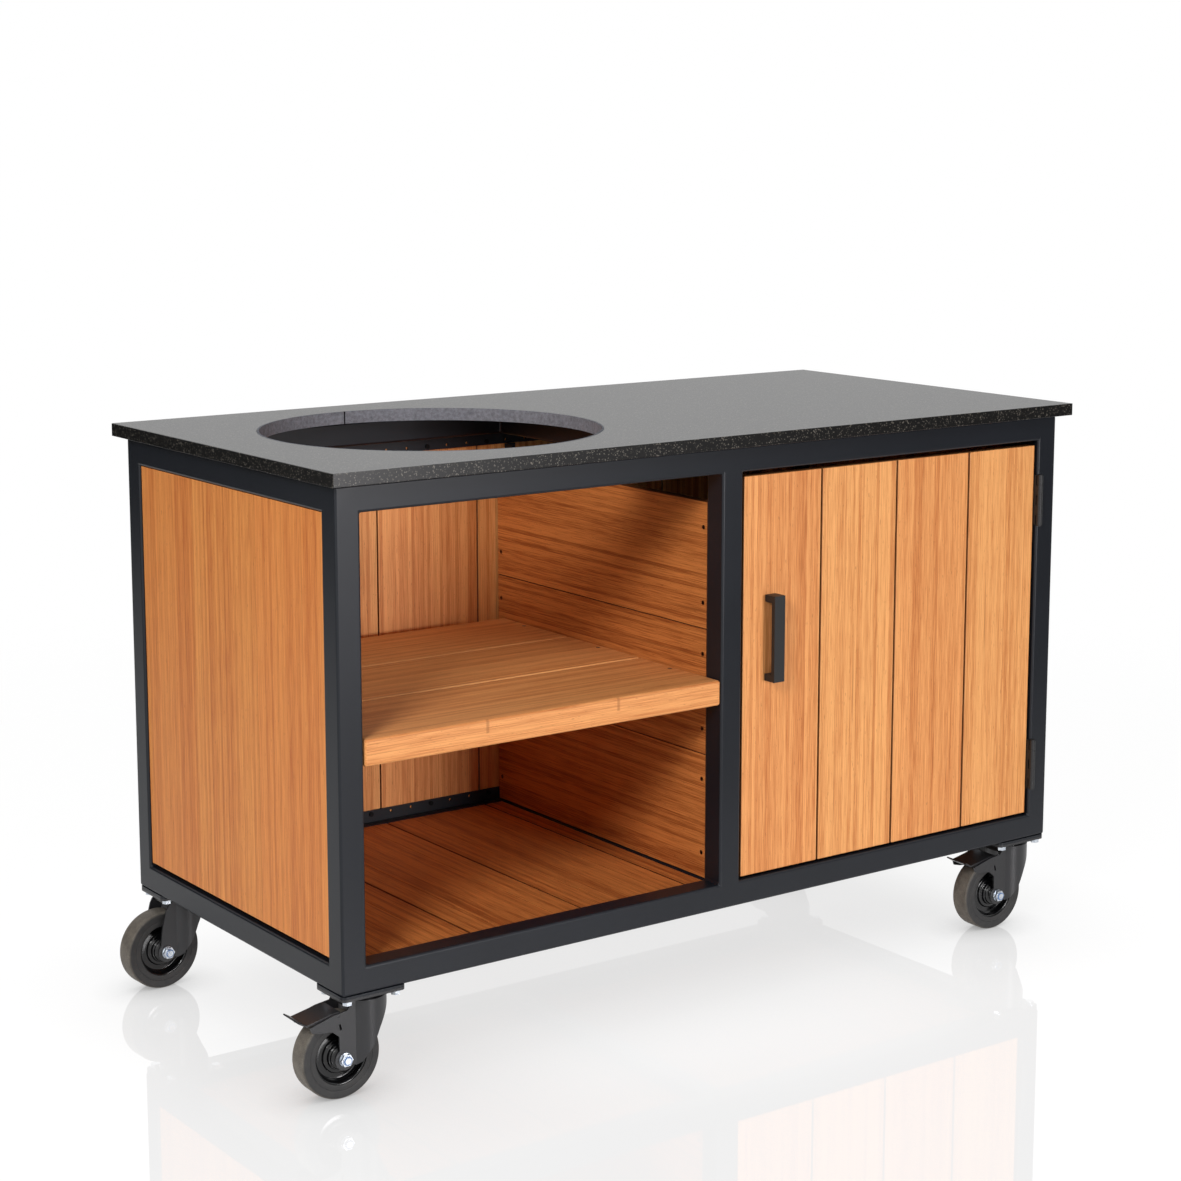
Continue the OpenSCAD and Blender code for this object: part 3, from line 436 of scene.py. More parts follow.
def grey_felt():
    material, tree, shader = new_material("grey_felt")
    place = object_coordinates(tree)
    fuzz = noise(tree, place, 1100.0, detail=4.0, roughness=0.7)
    cloud = noise(tree, place, 180.0)
    grey = ramp(tree, weigh(tree, cloud, fuzz, 0.4), (0.25, srgb(74, 76, 82)), (0.75, srgb(158, 161, 170)))
    # The seam is where the angle round the cut-out's middle comes near the seam's own angle
    low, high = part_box("cutout_liner")
    from_middle = vector_math(tree, "SUBTRACT", place, tuple((low + high) / 2))
    axes = add(tree, "ShaderNodeSeparateXYZ", {0: from_middle}).outputs
    angle = math_node(tree, "ARCTAN2", axes[1], axes[0])
    off = math_node(tree, "ABSOLUTE", math_node(tree, "SUBTRACT", angle, math.radians(SEAM_DEGREES)))
    seam = math_node(tree, "LESS_THAN", off, SEAM_HALF_WIDTH)
    fill(tree, shader, {"Base Color": mix(tree, seam, grey, srgb(22, 22, 24)), "Roughness": 0.95,
                        "Specular IOR Level": 0.2, "Normal": bump(tree, fuzz, 0.8, 0.6 * MM)})
    return material


felt = grey_felt()
print("felt made")

# %% Rubber, dusty on the tread
def tyre_rubber():
    """The tread attribute is 1 on the tread and 0 on the tyre's sides."""
    material, tree, shader = new_material("tyre_rubber")
    place = object_coordinates(tree)
    dust = noise(tree, place, 60.0, detail=4.0, roughness=0.65)
    fine = noise(tree, place, 900.0)
    side = ramp(tree, dust, (0.3, srgb(40, 40, 41)), (0.7, srgb(52, 51, 50)))
    tread = ramp(tree, weigh(tree, fine, dust, 0.5), (0.35, srgb(84, 79, 72)), (0.65, srgb(128, 121, 111)))
    worn = add(tree, "ShaderNodeAttribute", attribute_name="tread").outputs["Fac"]
    fill(tree, shader, {"Base Color": mix(tree, worn, side, tread), "Roughness": 0.6,
                        "Specular IOR Level": 0.35, "Normal": bump(tree, fine, 0.25, 0.2 * MM)})
    return material


rubber = tyre_rubber()
print("rubber made")

# %% [markdown]
# ## Finishes for the frame's own parts
# Some parts are small or already right as they come, such as screws, hinges and strips. Each
# could be painted by name, but the frame's record says what every part is made of. So a table
# from that slot to a finish paints them all, and three parts that differ are named after it.

# %% Give the frame's own parts their finishes
def paint(material, name):
    mesh = nodes[name].data
    mesh.materials.clear()
    mesh.materials.append(material)


slot_names = {part["node"]: part["material_slot"] for part in frame["record"]["subparts"]}
finish_for_slot = {"frame_steel": frame_paint, "stone": stone, "felt": felt, "bedding": tape,
                   "bamboo": upright_bamboo, "screw_zinc": zinc, "black_steel": black_paint,
                   "magnet_case": black_paint, "caster_steel": fork_paint, "axle_zinc": zinc,
                   "rim": rim_black, "tyre_rubber": rubber}
for name in nodes:
    paint(finish_for_slot[slot_names[name]], name)
paint(black_zinc, "shelf_screws")
paint(screw_black, "panel_screws")
paint(black_paint, "hinge_pins")
print("finishes on", len(nodes), "parts")

# %% [markdown]
# ## Rounded boards
# A board has small rounded edges that catch the light. Each could be a box with a Bevel
# modifier, but all the boards follow one rule, so one Geometry Nodes tree makes them. It puts
# a dense little cube on each board's middle and moves the cube's points out to the board's
# own size, with the last bit bent round the edge. A list of middles and sizes is all that the
# tree needs, and both are read from the frame.

# %% Read the solids of a part
MERGE = 0.01 * MM


def loose_boxes(name):
    """The lowest and highest corner of each separate solid in a CAD part, in order along X, Y, Z."""
    shape = bmesh.new()
    shape.from_mesh(nodes[name].data)
    bmesh.ops.remove_doubles(shape, verts=shape.verts, dist=MERGE)
    left = set(shape.verts)
    boxes = []
    while left:
        group = {left.pop()}
        edge = list(group)
        while edge:
            for link in edge.pop().link_edges:
                for vert in link.verts:
                    if vert not in group:
                        group.add(vert)
                        edge.append(vert)
        left -= group
        low = Vector([min(v.co[i] for v in group) for i in range(3)])
        high = Vector([max(v.co[i] for v in group) for i in range(3)])
        boxes.append((low, high))
    shape.free()
    return sorted(boxes, key=lambda box: [round(v, 4) for v in box[0]])


print("the door has", len(loose_boxes("door_boards")), "boards")

# %% Start and end a Geometry Nodes tree
def new_tree(name, **inputs):
    """A tree with named inputs of given kinds, and one output for its geometry."""
    tree = bpy.data.node_groups.new(name, "GeometryNodeTree")
    for label, kind in inputs.items():
        tree.interface.new_socket(label, in_out="INPUT", socket_type="NodeSocket" + kind)
    tree.interface.new_socket("Geometry", in_out="OUTPUT", socket_type="NodeSocketGeometry")
    return tree, tree.nodes.new("NodeGroupInput").outputs


def finish_tree(tree, geometry, material):
    """Realizes the instances, sets the material and links the result to the output."""
    real = add(tree, "GeometryNodeRealizeInstances", {0: geometry})
    painted = add(tree, "GeometryNodeSetMaterial", {0: real, 2: material})
    add(tree, "NodeGroupOutput", {0: painted})


def named(tree, name):
    """Reads a vector that the points carry."""
    return add(tree, "GeometryNodeInputNamedAttribute", {"Name": name}, data_type="FLOAT_VECTOR").outputs[0]


def store(tree, geometry, name, value, kind="FLOAT"):
    """Lets every point carry a value under a name."""
    return add(tree, "GeometryNodeStoreNamedAttribute", {"Geometry": geometry, "Name": name, "Value": value},
               data_type=kind, domain="POINT").outputs[0]


print("tree helpers ready")

# %% Put a cube on each middle
# The cube's rows of points sit at 1/7, 3/7, 5/7 and 1 of its half side. The inner row stays on
# the flat face, the next is where the rounding starts, and the outer two lie on the bend.
ROWS = 8
BEND_START = 3 / 7
BEND_MIDDLE = 5 / 7


def placed_cubes(tree, points):
    """Each cube point knows its own corner, and its board's middle, size and number."""
    cube = add(tree, "GeometryNodeMeshCube",
               {"Size": (2, 2, 2), "Vertices X": ROWS, "Vertices Y": ROWS, "Vertices Z": ROWS})
    here = add(tree, "GeometryNodeInputPosition").outputs[0]
    number = add(tree, "GeometryNodeInputIndex").outputs[0]
    cornered = store(tree, cube.outputs[0], "corner", here, "FLOAT_VECTOR")
    centred = store(tree, points, "middle", here, "FLOAT_VECTOR")
    numbered = store(tree, centred, "board", number)
    placed = add(tree, "GeometryNodeInstanceOnPoints", {"Points": numbered, "Instance": cornered})
    return add(tree, "GeometryNodeRealizeInstances", {0: placed}).outputs[0]


print("a board has", ROWS, "rows of points along each side")

# %% Shape the cubes into boards
SLACK = 0.5 * MM


def rounded_places(tree, radius):
    """Where each cube point goes on its board."""
    corner = named(tree, "corner")
    away = vector_math(tree, "ABSOLUTE", corner)
    side = vector_math(tree, "DIVIDE", corner, away)
    half = vector_math(tree, "SCALE", named(tree, "size"), 0.5)
    even = add(tree, "ShaderNodeCombineXYZ", {0: radius, 1: radius, 2: radius})
    inner = vector_math(tree, "SUBTRACT", half, even)
    turn = vector_math(tree, "SCALE", vector_math(tree, "SUBTRACT", away, (BEND_START,) * 3),
                       math.pi / 4 / (1 - BEND_START))
    reach = vector_math(tree, "SCALE", vector_math(tree, "TANGENT", turn), radius)
    square = vector_math(tree, "MULTIPLY", side, vector_math(tree, "ADD", inner, reach))
    kept = vector_math(tree, "MULTIPLY", side,
                       vector_math(tree, "MINIMUM", inner, vector_math(tree, "ABSOLUTE", square)))
    out = vector_math(tree, "NORMALIZE", vector_math(tree, "SUBTRACT", square, kept))
    bent = vector_math(tree, "ADD", kept, vector_math(tree, "SCALE", out, radius))
    return vector_math(tree, "ADD", named(tree, "middle"), bent)


def edge_mark(tree):
    """1 on a board's four narrow sides and 0 on its two faces, which look along its thinnest size."""
    away = vector_math(tree, "ABSOLUTE", named(tree, "corner"))
    sizes = add(tree, "ShaderNodeSeparateXYZ", {0: named(tree, "size")}).outputs
    thin = math_node(tree, "MINIMUM", math_node(tree, "MINIMUM", sizes[0], sizes[1]), sizes[2])
    narrow = 0
    for axis, share in enumerate(add(tree, "ShaderNodeSeparateXYZ", {0: away}).outputs):
        bend = add(tree, "ShaderNodeMapRange", {"Value": share, "From Min": BEND_MIDDLE}).outputs[0]
        wide = math_node(tree, "GREATER_THAN", sizes[axis], math_node(tree, "ADD", thin, SLACK))
        narrow = math_node(tree, "MAXIMUM", narrow, times(tree, bend, wide))
    return narrow


def block_tree():
    tree, given = new_tree("rounded_blocks", Geometry="Geometry", Radius="Float", Material="Material")
    cubes = placed_cubes(tree, given["Geometry"])
    moved = add(tree, "GeometryNodeSetPosition",
                {"Geometry": cubes, "Position": rounded_places(tree, given["Radius"])})
    # The mark tells the bamboo where to paint shade, or a highlight, on the boards' narrow sides
    marked = store(tree, moved.outputs[0], "edge", edge_mark(tree))
    clean = add(tree, "GeometryNodeSetShadeSmooth", {"Geometry": marked}).outputs[0]
    for label in ("corner", "middle", "size"):
        clean = add(tree, "GeometryNodeRemoveAttribute", {"Geometry": clean, "Name": label}).outputs[0]
    finish_tree(tree, clean, given["Material"])
    return tree


rounded_blocks = block_tree()
print("the tree for boards has", len(rounded_blocks.nodes), "nodes")

# %% Make a piece and fasten it
def new_piece(name, mesh):
    """An object at the origin, whose place is in its mesh."""
    piece = bpy.data.objects.new(name, mesh)
    bpy.context.scene.collection.objects.link(piece)
    return piece


def make_plain(piece):
    """Swaps a piece's modifiers for the plain mesh that they make."""
    view = bpy.context.evaluated_depsgraph_get()
    result = bpy.data.meshes.new_from_object(piece.evaluated_get(view))
    piece.modifiers.clear()
    piece.data = result


def fasten(piece, body, slot, *replaced):
    """Lets a piece ride on a body and stand in place of CAD parts, which it hides. slot is not used."""
    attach(piece, body)
    if replaced:
        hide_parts(*replaced)


print("piece helpers ready")

# %% Run the tree on a list of boxes
def middles_and_sizes(name, boxes):
    """A mesh of loose points on the boxes' middles, where each point carries its box's size."""
    mesh = bpy.data.meshes.new(name)
    mesh.from_pydata([tuple((low + high) / 2) for low, high in boxes], [], [])
    layer = mesh.attributes.new("size", "FLOAT_VECTOR", "POINT")
    for item, (low, high) in zip(layer.data, boxes):
        item.vector = high - low
    return mesh


def blocks(name, boxes, radius, material, body, slot, *replaced):
    """Rounded blocks from their lowest and highest corners."""
    piece = new_piece(name, middles_and_sizes(name, boxes))
    modifier = piece.modifiers.new("blocks", "NODES")
    modifier.node_group = rounded_blocks
    sockets = {item.name: item.identifier for item in rounded_blocks.interface.items_tree
               if item.item_type == "SOCKET" and item.in_out == "INPUT"}
    modifier[sockets["Radius"]] = radius
    modifier[sockets["Material"]] = material
    make_plain(piece)
    fasten(piece, body, slot, *replaced)
    print(name, "has", len(boxes), "blocks")


# %% [markdown]
# ## The boards of the walls, the floor and the door
# On the real cabinet the seams between boards show as thin dark lines. Lines could be painted on, but a real gap
# casts its own shadow from every side. So the frame's plain solids are cut into boards where seams show, and most
# are made a little slimmer before they are rounded. Their bamboo also paints shade on the boards' narrow sides,
# which darkens the seams further.

# %% Cut and trim boxes
BOARD = 200 * MM


def split(box, axis, *cuts):
    """Cuts a box across one axis, at distances from its low end."""
    low, high = box
    inside = [low[axis] + cut for cut in cuts if low[axis] + cut < high[axis] - MM]
    marks = [low[axis], *inside, high[axis]]
    pieces = []
    for a, b in zip(marks, marks[1:]):
        one, two = low.copy(), high.copy()
        one[axis], two[axis] = a, b
        pieces.append((one, two))
    return pieces


def slimmer(boxes, axis, trim):
    """Takes a little off both ends of each box, which widens the seams between them."""
    step = Vector([trim if n == axis else 0 for n in range(3)])
    return [(low + step, high - step) for low, high in boxes]


print("a side panel gives", len(split(loose_boxes("left_panel")[0], 1, BOARD, 2 * BOARD)), "boards")

# %% Make the boards
# Where a seam runs along each floor board, and how much slimmer and how rounded the boards are
GROOVES = (48 * MM, 151 * MM)
WALL_TRIM, FLOOR_TRIM, DOOR_TRIM = 0.5 * MM, 1.0 * MM, 0.3 * MM
SIDE_EDGE, WALL_EDGE, DIVIDER_EDGE = 0.35 * MM, 1.2 * MM, 0.6 * MM
FLOOR_EDGE, DOOR_EDGE, BATTEN_EDGE = 0.7 * MM, 1.5 * MM, 2 * MM

for side_name in ("left_panel", "right_panel"):
    panel = loose_boxes(side_name)[0]
    blocks(side_name + "_boards", split(panel, 1, BOARD, 2 * BOARD), SIDE_EDGE, side_bamboo,
           "cabinet", "bamboo", side_name)
blocks("rear_wall", slimmer(loose_boxes("rear_boards"), 0, WALL_TRIM), WALL_EDGE, wall_bamboo,
       "cabinet", "bamboo", "rear_boards")
blocks("divider_wall", loose_boxes("divider_boards"), DIVIDER_EDGE, deep_bamboo,
       "cabinet", "bamboo", "divider_boards")
floor_strips = [strip for board in slimmer(loose_boxes("floor_boards"), 0, FLOOR_TRIM)
                for strip in split(board, 0, *GROOVES)]
blocks("bay_floor", floor_strips, FLOOR_EDGE, deep_bamboo, "cabinet", "bamboo", "floor_boards")
blocks("door_front", slimmer(loose_boxes("door_boards"), 0, DOOR_TRIM), DOOR_EDGE, upright_bamboo,
       "door", "bamboo", "door_boards")
blocks("door_back_battens", loose_boxes("door_battens"), BATTEN_EDGE, sideways_bamboo,
       "door", "bamboo", "door_battens")

# %% [markdown]
# ## Softened copies
# Sheet steel and stone have no sharp edges either. Here the CAD shape is already right, and to
# draw it again would only add errors. So each such part is copied, its loose triangles are
# joined and its flat faces merged, because a triangle's line across a face is no real edge.
# Then a Bevel modifier rounds every edge that turns by more than a set angle.

# %% Soften a part's edges
FLAT_DEGREES = 0.4


def mesh_piece(name, shape):
    """An object at the origin from a bmesh, which is freed."""
    mesh = bpy.data.meshes.new(name)
    shape.to_mesh(mesh)
    shape.free()
    return new_piece(name, mesh)


def round_edges(piece, width, segments, degrees):
    """Bevels the sharp edges. The normals then follow the largest faces, so that these look flat."""
    bevel = piece.modifiers.new("bevel", "BEVEL")
    bevel.width = width
    bevel.segments = segments
    bevel.limit_method = "ANGLE"
    bevel.angle_limit = math.radians(degrees)
    even = piece.modifiers.new("even", "WEIGHTED_NORMAL")
    even.mode = "FACE_AREA"
    even.weight = 100
    even.keep_sharp = False
    piece.data.shade_smooth()
    make_plain(piece)


def softened(name, width, body, slot, material, degrees=30, segments=2):
    """A copy of a CAD part with rounded edges, which stands in for that part."""
    shape = bmesh.new()
    shape.from_mesh(nodes[name].data)
    bmesh.ops.remove_doubles(shape, verts=shape.verts, dist=MERGE)
    bmesh.ops.dissolve_limit(shape, angle_limit=math.radians(FLAT_DEGREES), verts=shape.verts,
                             edges=shape.edges)
    piece = mesh_piece(name + "_soft", shape)
    round_edges(piece, width, segments, degrees)
    piece.data.materials.append(material)
    fasten(piece, body, slot, name)
    print(name, "has", len(piece.data.polygons), "faces")


# %% Soften stone, handle, casters and bolts
CORNERS = ("front_left", "front_right", "rear_left", "rear_right")
FINE_EDGE = 0.4 * MM
SHEET_EDGE = 0.5 * MM

softened("worktop", 1.0 * MM, "cabinet", "stone", stone, degrees=60, segments=3)
softened("handle", 0.7 * MM, "door", "black_steel", black_paint)
for corner in CORNERS:
    softened(corner + "_fork", SHEET_EDGE, corner + "_swivel", "caster_steel", fork_paint)
    softened(corner + "_axle", FINE_EDGE, corner + "_swivel", "axle_zinc", zinc)
for corner in CORNERS[:2]:
    softened(corner + "_brake", FINE_EDGE, corner + "_brake", "caster_steel", fork_paint)
softened("caster_bolts", FINE_EDGE, "cabinet", "screw_zinc", zinc)
softened("caster_plates", SHEET_EDGE, "cabinet", "caster_steel", fork_paint)
softened("caster_pads", 0.6 * MM, "cabinet", "frame_steel", frame_paint)

# %% [markdown]
# ## Turned wheels
# Tyre, rim and the nylon ring of the locking nut are turned shapes. A cylinder with modifiers
# could come near them, but the rim has a dozen steps. So each is one profile, swept round the
# axle, as on a lathe. The profile is a closed loop, so the swept mesh is closed too. Its
# corners are cut by small curves first, because those draw the thin bright rings on the rim.
# The tyre's points also carry a mark, 1 on the tread and 0 on the sides, for its material.

# %% Draw a profile
CURVE_STEPS = (0.0, 0.33, 0.67, 1.0)


def eased(profile, radius):
    """Swaps each corner of a closed profile for a small curve."""
    curve = []
    for i, (r, w, mark) in enumerate(profile):
        here = Vector((r, w))
        sides = [Vector(profile[i - 1][:2]) - here, Vector(profile[(i + 1) % len(profile)][:2]) - here]
        # A curve takes less than half of a side, and leaves the rest to the next corner's curve
        a, b = [here + side.normalized() * min(radius, side.length / 2.2) for side in sides]
        for t in CURVE_STEPS:
            spot = a * (1 - t) ** 2 + here * 2 * t * (1 - t) + b * t ** 2
            curve.append((spot.x, spot.y, mark))
    return curve


def both_sides(half):
    """A profile from its outer half, mirrored to the wheel's other side."""
    return half + [(r, -w, mark) for r, w, mark in reversed(half)]


# Radius, distance from the wheel's middle and tread mark, in mm
TYRE = both_sides([(45.0, 15.2, 0), (41.6, 15.2, 0), (41.6, 17.0, 0), (43.4, 17.4, 0), (49.2, 17.4, 0),
                   (50.0, 16.7, 0), (50.8, 17.4, 0), (58.0, 17.5, 0), (59.4, 17.4, 0), (61.2, 16.6, 0.4),
                   (62.3, 15.0, 0.9), (62.5, 13.4, 1)])
RIM = both_sides([(5.1, 24.7, 0), (11.4, 24.7, 0), (12.4, 20.9, 0), (17.2, 18.4, 0), (18.2, 15.2, 0),
                  (19.6, 14.6, 0), (20.4, 9.8, 0), (25.2, 9.2, 0), (26.4, 5.4, 0), (34.6, 4.4, 0),
                  (37.6, 7.2, 0), (38.8, 13.4, 0), (40.6, 15.3, 0), (44.9, 15.3, 0)])
NUT_RING = [(5.1, 36.0, 0), (6.5, 36.0, 0), (6.5, 37.0, 0), (5.1, 37.0, 0)]
print("the tyre's profile has", len(TYRE), "points, the rim's", len(RIM))

# %% Turn the profiles round the axles
TURN_STEPS = 96
UP = Vector((0, 0, 1))


def turned(name, profile, corner, body, slot, material, *replaced):
    """Sweeps a profile round the axle of the wheel at a corner."""
    joint = [j for j in frame["joints"] if j["name"] == corner + "_wheel_spin"][0]
    middle, axis = Vector(joint["pos_m"]), Vector(joint["axis"]).normalized()
    level = axis.cross(UP).normalized()
    shape = bmesh.new()
    mark_layer = shape.verts.layers.float.new("tread")
    rings = []
    for step in range(TURN_STEPS):
        angle = 2 * math.pi * step / TURN_STEPS
        out = level * math.cos(angle) + UP * math.sin(angle)
        ring = []
        for radius, along, mark in profile:
            vert = shape.verts.new(middle + out * radius * MM + axis * along * MM)
            vert[mark_layer] = mark
            ring.append(vert)
        rings.append(ring)
    for a, b in zip(rings, rings[1:] + rings[:1]):
        for i in range(len(profile)):
            shape.faces.new((a[i - 1], a[i], b[i], b[i - 1]))
    bmesh.ops.recalc_face_normals(shape, faces=shape.faces)
    piece = mesh_piece(name, shape)
    piece.data.shade_smooth()
    piece.data.materials.append(material)
    fasten(piece, body, slot, *replaced)


for corner in CORNERS:
    wheel = corner + "_wheel"
    turned(corner + "_tyre_turned", eased(TYRE, radius=0.5), corner, wheel, "tyre_rubber", rubber,
           corner + "_tyre")
    turned(corner + "_rim_turned", eased(RIM, radius=0.9), corner, wheel, "rim", rim_black, corner + "_rim")
    turned(corner + "_nut_ring", eased(NUT_RING, radius=0.2), corner, corner + "_swivel", "axle_zinc", nylon)
print("turned", 3 * len(CORNERS), "pieces")

# %% [markdown]
# ## The welded frame
# The tubes are welded and ground flush: their faces run on from post to rail, with a small
# fillet in each inside corner. Tubes that overlap would show seams, and Boolean modifiers
# leave slivers that spoil a bevel. So the frame is drawn as a grid of cells, filled where a
# tube passes. Only faces between full and empty cells are kept, and one Bevel modifier rounds
# the outside edges and fills the inside corners together.

# %% Draw a shell round cells
def cell_shell(name, lines, filled):
    """A closed mesh round the filled cells of a grid. lines gives the grid's planes on each axis."""
    corners = {}
    faces = []
    counts = [len(axis) - 1 for axis in lines]
    for cell in [(i, j, k) for i in range(counts[0]) for j in range(counts[1]) for k in range(counts[2])]:
        if not filled(*cell):
            continue
        for axis in range(3):
            for up in (0, 1):
                beyond = list(cell)
                beyond[axis] += 1 if up else -1
                inside = 0 <= beyond[axis] < counts[axis]
                if inside and filled(*beyond):
                    continue
                a, b = [n for n in range(3) if n != axis]
                ring = []
                for da, db in ((0, 0), (1, 0), (1, 1), (0, 1)):
                    point = list(cell)
                    point[axis] += up
                    point[a] += da
                    point[b] += db
                    ring.append(corners.setdefault(tuple(point), len(corners)))
                faces.append(ring)
    mesh = bpy.data.meshes.new(name)
    mesh.from_pydata([(lines[0][i], lines[1][j], lines[2][k]) for i, j, k in corners], [], faces)
    shape = bmesh.new()
    shape.from_mesh(mesh)
    bmesh.ops.recalc_face_normals(shape, faces=shape.faces)
    shape.to_mesh(mesh)
    shape.free()
    return mesh


def rounded_shell(name, lines, filled, radius, material, body, slot, *replaced):
    """A piece from a shell of cells, with its edges rounded and its inside corners filled."""
    piece = new_piece(name, cell_shell(name, lines, filled))
    round_edges(piece, radius, segments=4, degrees=60)
    piece.data.materials.append(material)
    fasten(piece, body, slot, *replaced)
    print(name, "has", len(piece.data.polygons), "faces")


# %% Where the tubes pass
POSTS = ("front_left_post", "front_right_post", "rear_left_post", "rear_right_post", "centre_post")
RAILS = ("front_top_rail", "front_bottom_rail", "rear_top_rail", "rear_bottom_rail", "left_rails",
         "right_rails", "centre_rails")


def frame_lines():
    """The planes of the tubes' faces: six across X, four across Y and four up Z."""
    spans = [set(), set(), set()]
    for names, axes in ((POSTS, (0, 1)), (RAILS[:2], (2,))):
        for name in names:
            for axis in axes:
                spans[axis] |= {round(corner[axis], 5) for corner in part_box(name)}
    return [sorted(span) for span in spans]


def tube_passes(i, j, k):
    """i counts cells from the left: post, bay, centre post, bay, post. j counts from the front and
    k from the floor: in both, 0 and 2 are tubes and 1 is the space between."""
    front_or_rear = j in (0, 2)
    top_or_bottom = k in (0, 2)
    corner_post = front_or_rear and i in (0, 4)
    centre_post = j == 0 and i == 2
    long_rail = front_or_rear and top_or_bottom
    cross_rail = j == 1 and i in (0, 2, 4) and top_or_bottom
    return corner_post or centre_post or long_rail or cross_rail


print("the tubes' faces give", [len(planes) for planes in frame_lines()], "planes")

# %% Make the frame
FRAME_EDGE = 4.2 * MM

rounded_shell("welded_frame", frame_lines(), tube_passes, FRAME_EDGE, frame_paint,
              "cabinet", "frame_steel", *POSTS, *RAILS)

# %% [markdown]
# ## The shelf
# The shelf is three boards with thin gaps between them. The front one has a tall lip glued
# under its edge, so its section is an L, which a rounded block can't be. A shell of cells
# makes the L, as it made the frame, and the other two boards are rounded blocks.

# %% The shelf's boards and lip
LIP_THICK = 22 * MM
# The boards lie a hair below the screws' heads, so that the two never share a plane
LOWERED = 0.2 * MM
LIP_ROUND, SHELF_ROUND = 4.5 * MM, 3 * MM
SHELF_TRIM = 1.5 * MM

shelf_solids = sorted(loose_boxes("shelf_boards"), key=lambda box: box[0].y)
lip_low, lip_high = shelf_solids[0]
under_boards = shelf_solids[1][0].z
lip_lines = [[lip_low.x, lip_high.x], [lip_low.y, lip_low.y + LIP_THICK, lip_high.y],
             [lip_low.z, under_boards, lip_high.z - LOWERED]]
rounded_shell("shelf_front", lip_lines, lambda i, j, k: j == 0 or k == 1, LIP_ROUND, sideways_bamboo,
              "cabinet", "bamboo", "shelf_boards")
rear_boards = slimmer(slimmer(shelf_solids[1:], 1, SHELF_TRIM), 2, LOWERED)
blocks("shelf_rear_boards", rear_boards, SHELF_ROUND, sideways_bamboo, "cabinet", "bamboo")

# %% [markdown]
# ## The floor
# The photograph has a white floor with a faint mirror image in front of the cabinet and a soft
# shadow below it. A plain white floor would need far more light, and that would wash out the
# steel. So the floor glows by itself, only where it is looked at, and Ambient Occlusion dims
# the glow near the casters and below the cabinet. All other light meets a plain pale floor.

# %% What counts as looking
def looked_at(tree):
    """1 for rays from the camera, by way of a mirror or through glass too, and 0 for other light."""
    rays = add(tree, "ShaderNodeLightPath").outputs
    beyond = math_node(tree, "MAXIMUM", rays["Is Glossy Ray"], rays["Is Transmission Ray"])
    return math_node(tree, "MAXIMUM", rays["Is Camera Ray"], beyond)


def show(tree, surface):
    """Links another shader to a material's surface."""
    out = [node for node in tree.nodes if node.type == "OUTPUT_MATERIAL"][0]
    fill(tree, out, {"Surface": surface})


def open_sky(tree, distance):
    """1 where nothing stands within the distance in metres, down to 0 in tight corners."""
    return add(tree, "ShaderNodeAmbientOcclusion", {"Distance": distance}, samples=8).outputs["AO"]


def shader_mix(tree, factor, a, b):
    return add(tree, "ShaderNodeMixShader", {0: factor, 1: a, 2: b})


print("floor and world helpers ready")

# %% Floor
FLOOR_RADIUS = 4.0
FLOOR_SIDES = 96
# The glow's least strength, and what open space adds within two distances in metres
GLOW, GLOW_NEAR, GLOW_BELOW = 0.33, 0.36, 0.28
NEAR, BELOW = 0.07, 0.3
# Rings round the floor's middle, in metres, and the mirror's strength inside and between them
MIRROR_STARTS, MIRROR_ENDS, FLOOR_ENDS = (0.35, 0.75), (1.0, 1.7), (1.7, 3.2)
MIRROR_BELOW, MIRROR_FRONT, MIRROR_LEFT_OVER = 0.06, 0.15, 0.1


def pale_floor():
    """White to the eye, with a soft shadow and a faint mirror that both end farther out."""
    material, tree, shader = new_material("pale_floor")
    fill(tree, shader, {"Base Color": (0.8, 0.8, 0.8, 1), "Roughness": 1.0, "Specular IOR Level": 0.0})
    below = math_node(tree, "MULTIPLY_ADD", open_sky(tree, BELOW), GLOW_BELOW, GLOW)
    glow = math_node(tree, "MULTIPLY_ADD", open_sky(tree, NEAR), GLOW_NEAR, below)
    white = add(tree, "ShaderNodeEmission", {"Strength": glow})
    shadowed = add(tree, "ShaderNodeBsdfDiffuse", {"Color": (0.08, 0.08, 0.08, 1)})
    bright = add(tree, "ShaderNodeAddShader", {0: shadowed, 1: white})
    base = shader_mix(tree, looked_at(tree), shader, bright)
    # The mirror is weak below the cabinet, full in front of it and nearly gone farther out
    from_middle = add(tree, "ShaderNodeVectorMath", {0: object_coordinates(tree)}, operation="LENGTH")
    far = from_middle.outputs["Value"]
    rise = between(tree, above(tree, far, *MIRROR_STARTS), MIRROR_BELOW, MIRROR_FRONT)
    fall = between(tree, above(tree, far, *MIRROR_ENDS), 1.0, MIRROR_LEFT_OVER)
    mirror = add(tree, "ShaderNodeBsdfGlossy", {"Color": (1, 1, 1, 1), "Roughness": 0.0})
    glaze = shader_mix(tree, times(tree, rise, fall), base, mirror)
    # The disc fades out before its rim, so that no edge shows against the white world
    clear = add(tree, "ShaderNodeBsdfTransparent")
    show(tree, shader_mix(tree, above(tree, far, *FLOOR_ENDS), glaze, clear))
    return material


disc = bmesh.new()
bmesh.ops.create_circle(disc, cap_ends=True, radius=FLOOR_RADIUS, segments=FLOOR_SIDES)
floor = mesh_piece("floor", disc)
floor.data.materials.append(pale_floor())
print("floor made, radius", FLOOR_RADIUS, "m")

# %% [markdown]
# ## The lamps
# No shadow in the photograph has a hard edge, as a sun or a spot lamp would draw it. So flat
# area lamps light the cabinet, as softboxes do in a studio. Their places and powers were
# fitted until wood, steel and stone came out as bright as in the photograph.

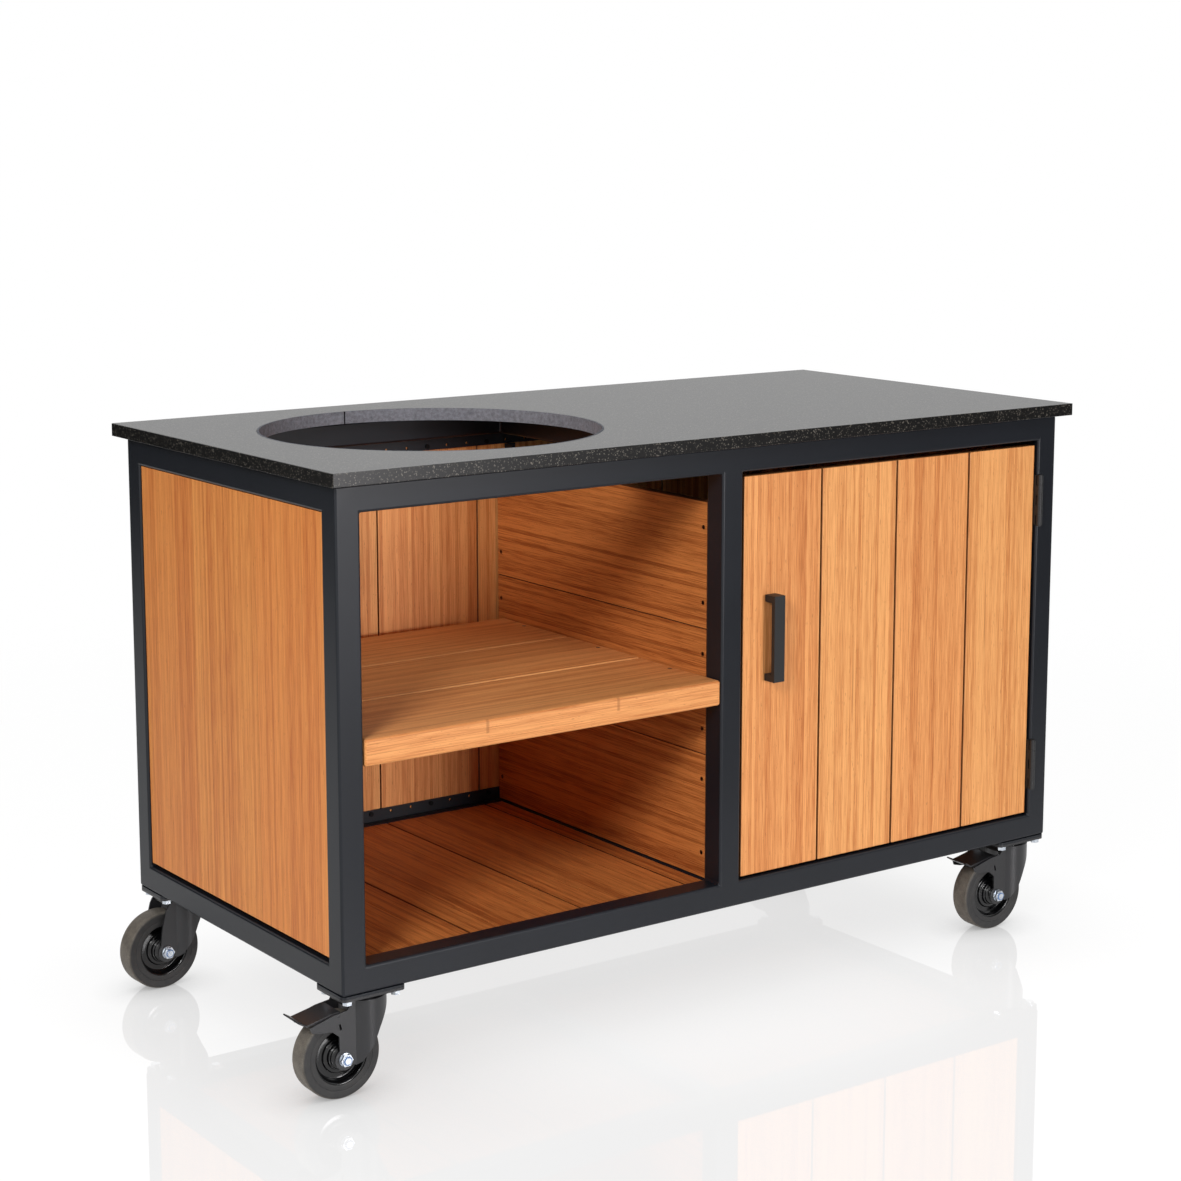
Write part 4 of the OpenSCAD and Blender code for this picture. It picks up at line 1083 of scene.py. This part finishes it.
# %% Lamps
def softbox(name, place, aim, size, power, colour=(1, 1, 1)):
    """A lamp of a size in metres and a power in watts, turned towards what it aims at."""
    lamp = bpy.data.lights.new(name, "AREA")
    lamp.shape = "RECTANGLE"
    lamp.size, lamp.size_y = size
    lamp.energy = power
    lamp.color = colour
    thing = bpy.data.objects.new(name, lamp)
    bpy.context.scene.collection.objects.link(thing)
    thing.location = place
    thing.rotation_euler = (Vector(aim) - Vector(place)).to_track_quat("-Z", "Y").to_euler()
    print(name, "gives", power, "W")


softbox("key_left", (-3.15, -2.21, 2.58), aim=(0, 0, 0.45), size=(1.0, 1.0), power=92)
softbox("low_front", (0.76, -4.32, 0.84), aim=(0, 0, 0.45), size=(1.0, 1.0), power=102,
        colour=(1.0, 0.98, 1.0))
softbox("fill_left", (-4.0, -1.0, 1.5), aim=(0, 0, 0.4), size=(2.0, 1.6), power=17)
softbox("top", (0.0, 0.0, 3.6), aim=(0, 0, 0.6), size=(3.2, 2.2), power=14)

# %% [markdown]
# ## Three dark boards
# Black steel takes its tone from what it mirrors, and in a white room it turns grey. A photo
# studio sets up black boards for that. These three show only in the blurred reflections of
# paint, rubber and stone. The eye looks through them and other light passes, so they cast no
# shadow.

# %% Dark boards
def dark_flag(name, size, place, turn):
    """A black board of a size in metres, turned by angles in degrees."""
    board = bmesh.new()
    # A square of one metre, which the scale then stretches
    bmesh.ops.create_grid(board, size=0.5)
    flag = mesh_piece(name, board)
    flag.scale = (*size, 1)
    flag.location = place
    flag.rotation_euler = [math.radians(angle) for angle in turn]
    material, tree, shader = new_material(name)
    fill(tree, shader, {"Base Color": (0, 0, 0, 1), "Specular IOR Level": 0.0})
    rays = add(tree, "ShaderNodeLightPath").outputs
    blurred = math_node(tree, "SUBTRACT", rays["Is Glossy Ray"], rays["Is Singular Ray"])
    show(tree, shader_mix(tree, blurred, add(tree, "ShaderNodeBsdfTransparent"), shader))
    flag.data.materials.append(material)
    flag.visible_shadow = False
    print(name, "is", size[0], "by", size[1], "m")


dark_flag("flag_behind_left", (6.0, 1.7), place=(-3.0, 1.9, 0.85), turn=(90, 0, 42))
dark_flag("flag_front_right", (5.4, 2.6), place=(3.9, -3.4, 1.35), turn=(90, 0, 0))
dark_flag("flag_on_the_floor", (6.8, 2.2), place=(3.0, -2.3, 0.02), turn=(0, 0, 0))

# %% [markdown]
# ## The world
# The world has to be white where it is looked at, but a white world would also light the
# cabinet from all sides and flatten it. So it is white only for rays that look, and lights
# the cabinet with a small part of that.

# %% World
DIM, WHITE = 0.08, 1.0

world = bpy.data.worlds.new("studio")
bpy.context.scene.world = world
world.use_nodes = True
sky = world.node_tree
sky.nodes.clear()
strength = between(sky, looked_at(sky), DIM, WHITE)
background = add(sky, "ShaderNodeBackground", {"Color": (1, 1, 1, 1), "Strength": strength})
add(sky, "ShaderNodeOutputWorld", {"Surface": background})
print("world made, with", len(sky.nodes), "nodes")

# %% [markdown]
# ## The end
# The last cell prints a closing line.

# %% Finish
print("the cabinet's scene is built")
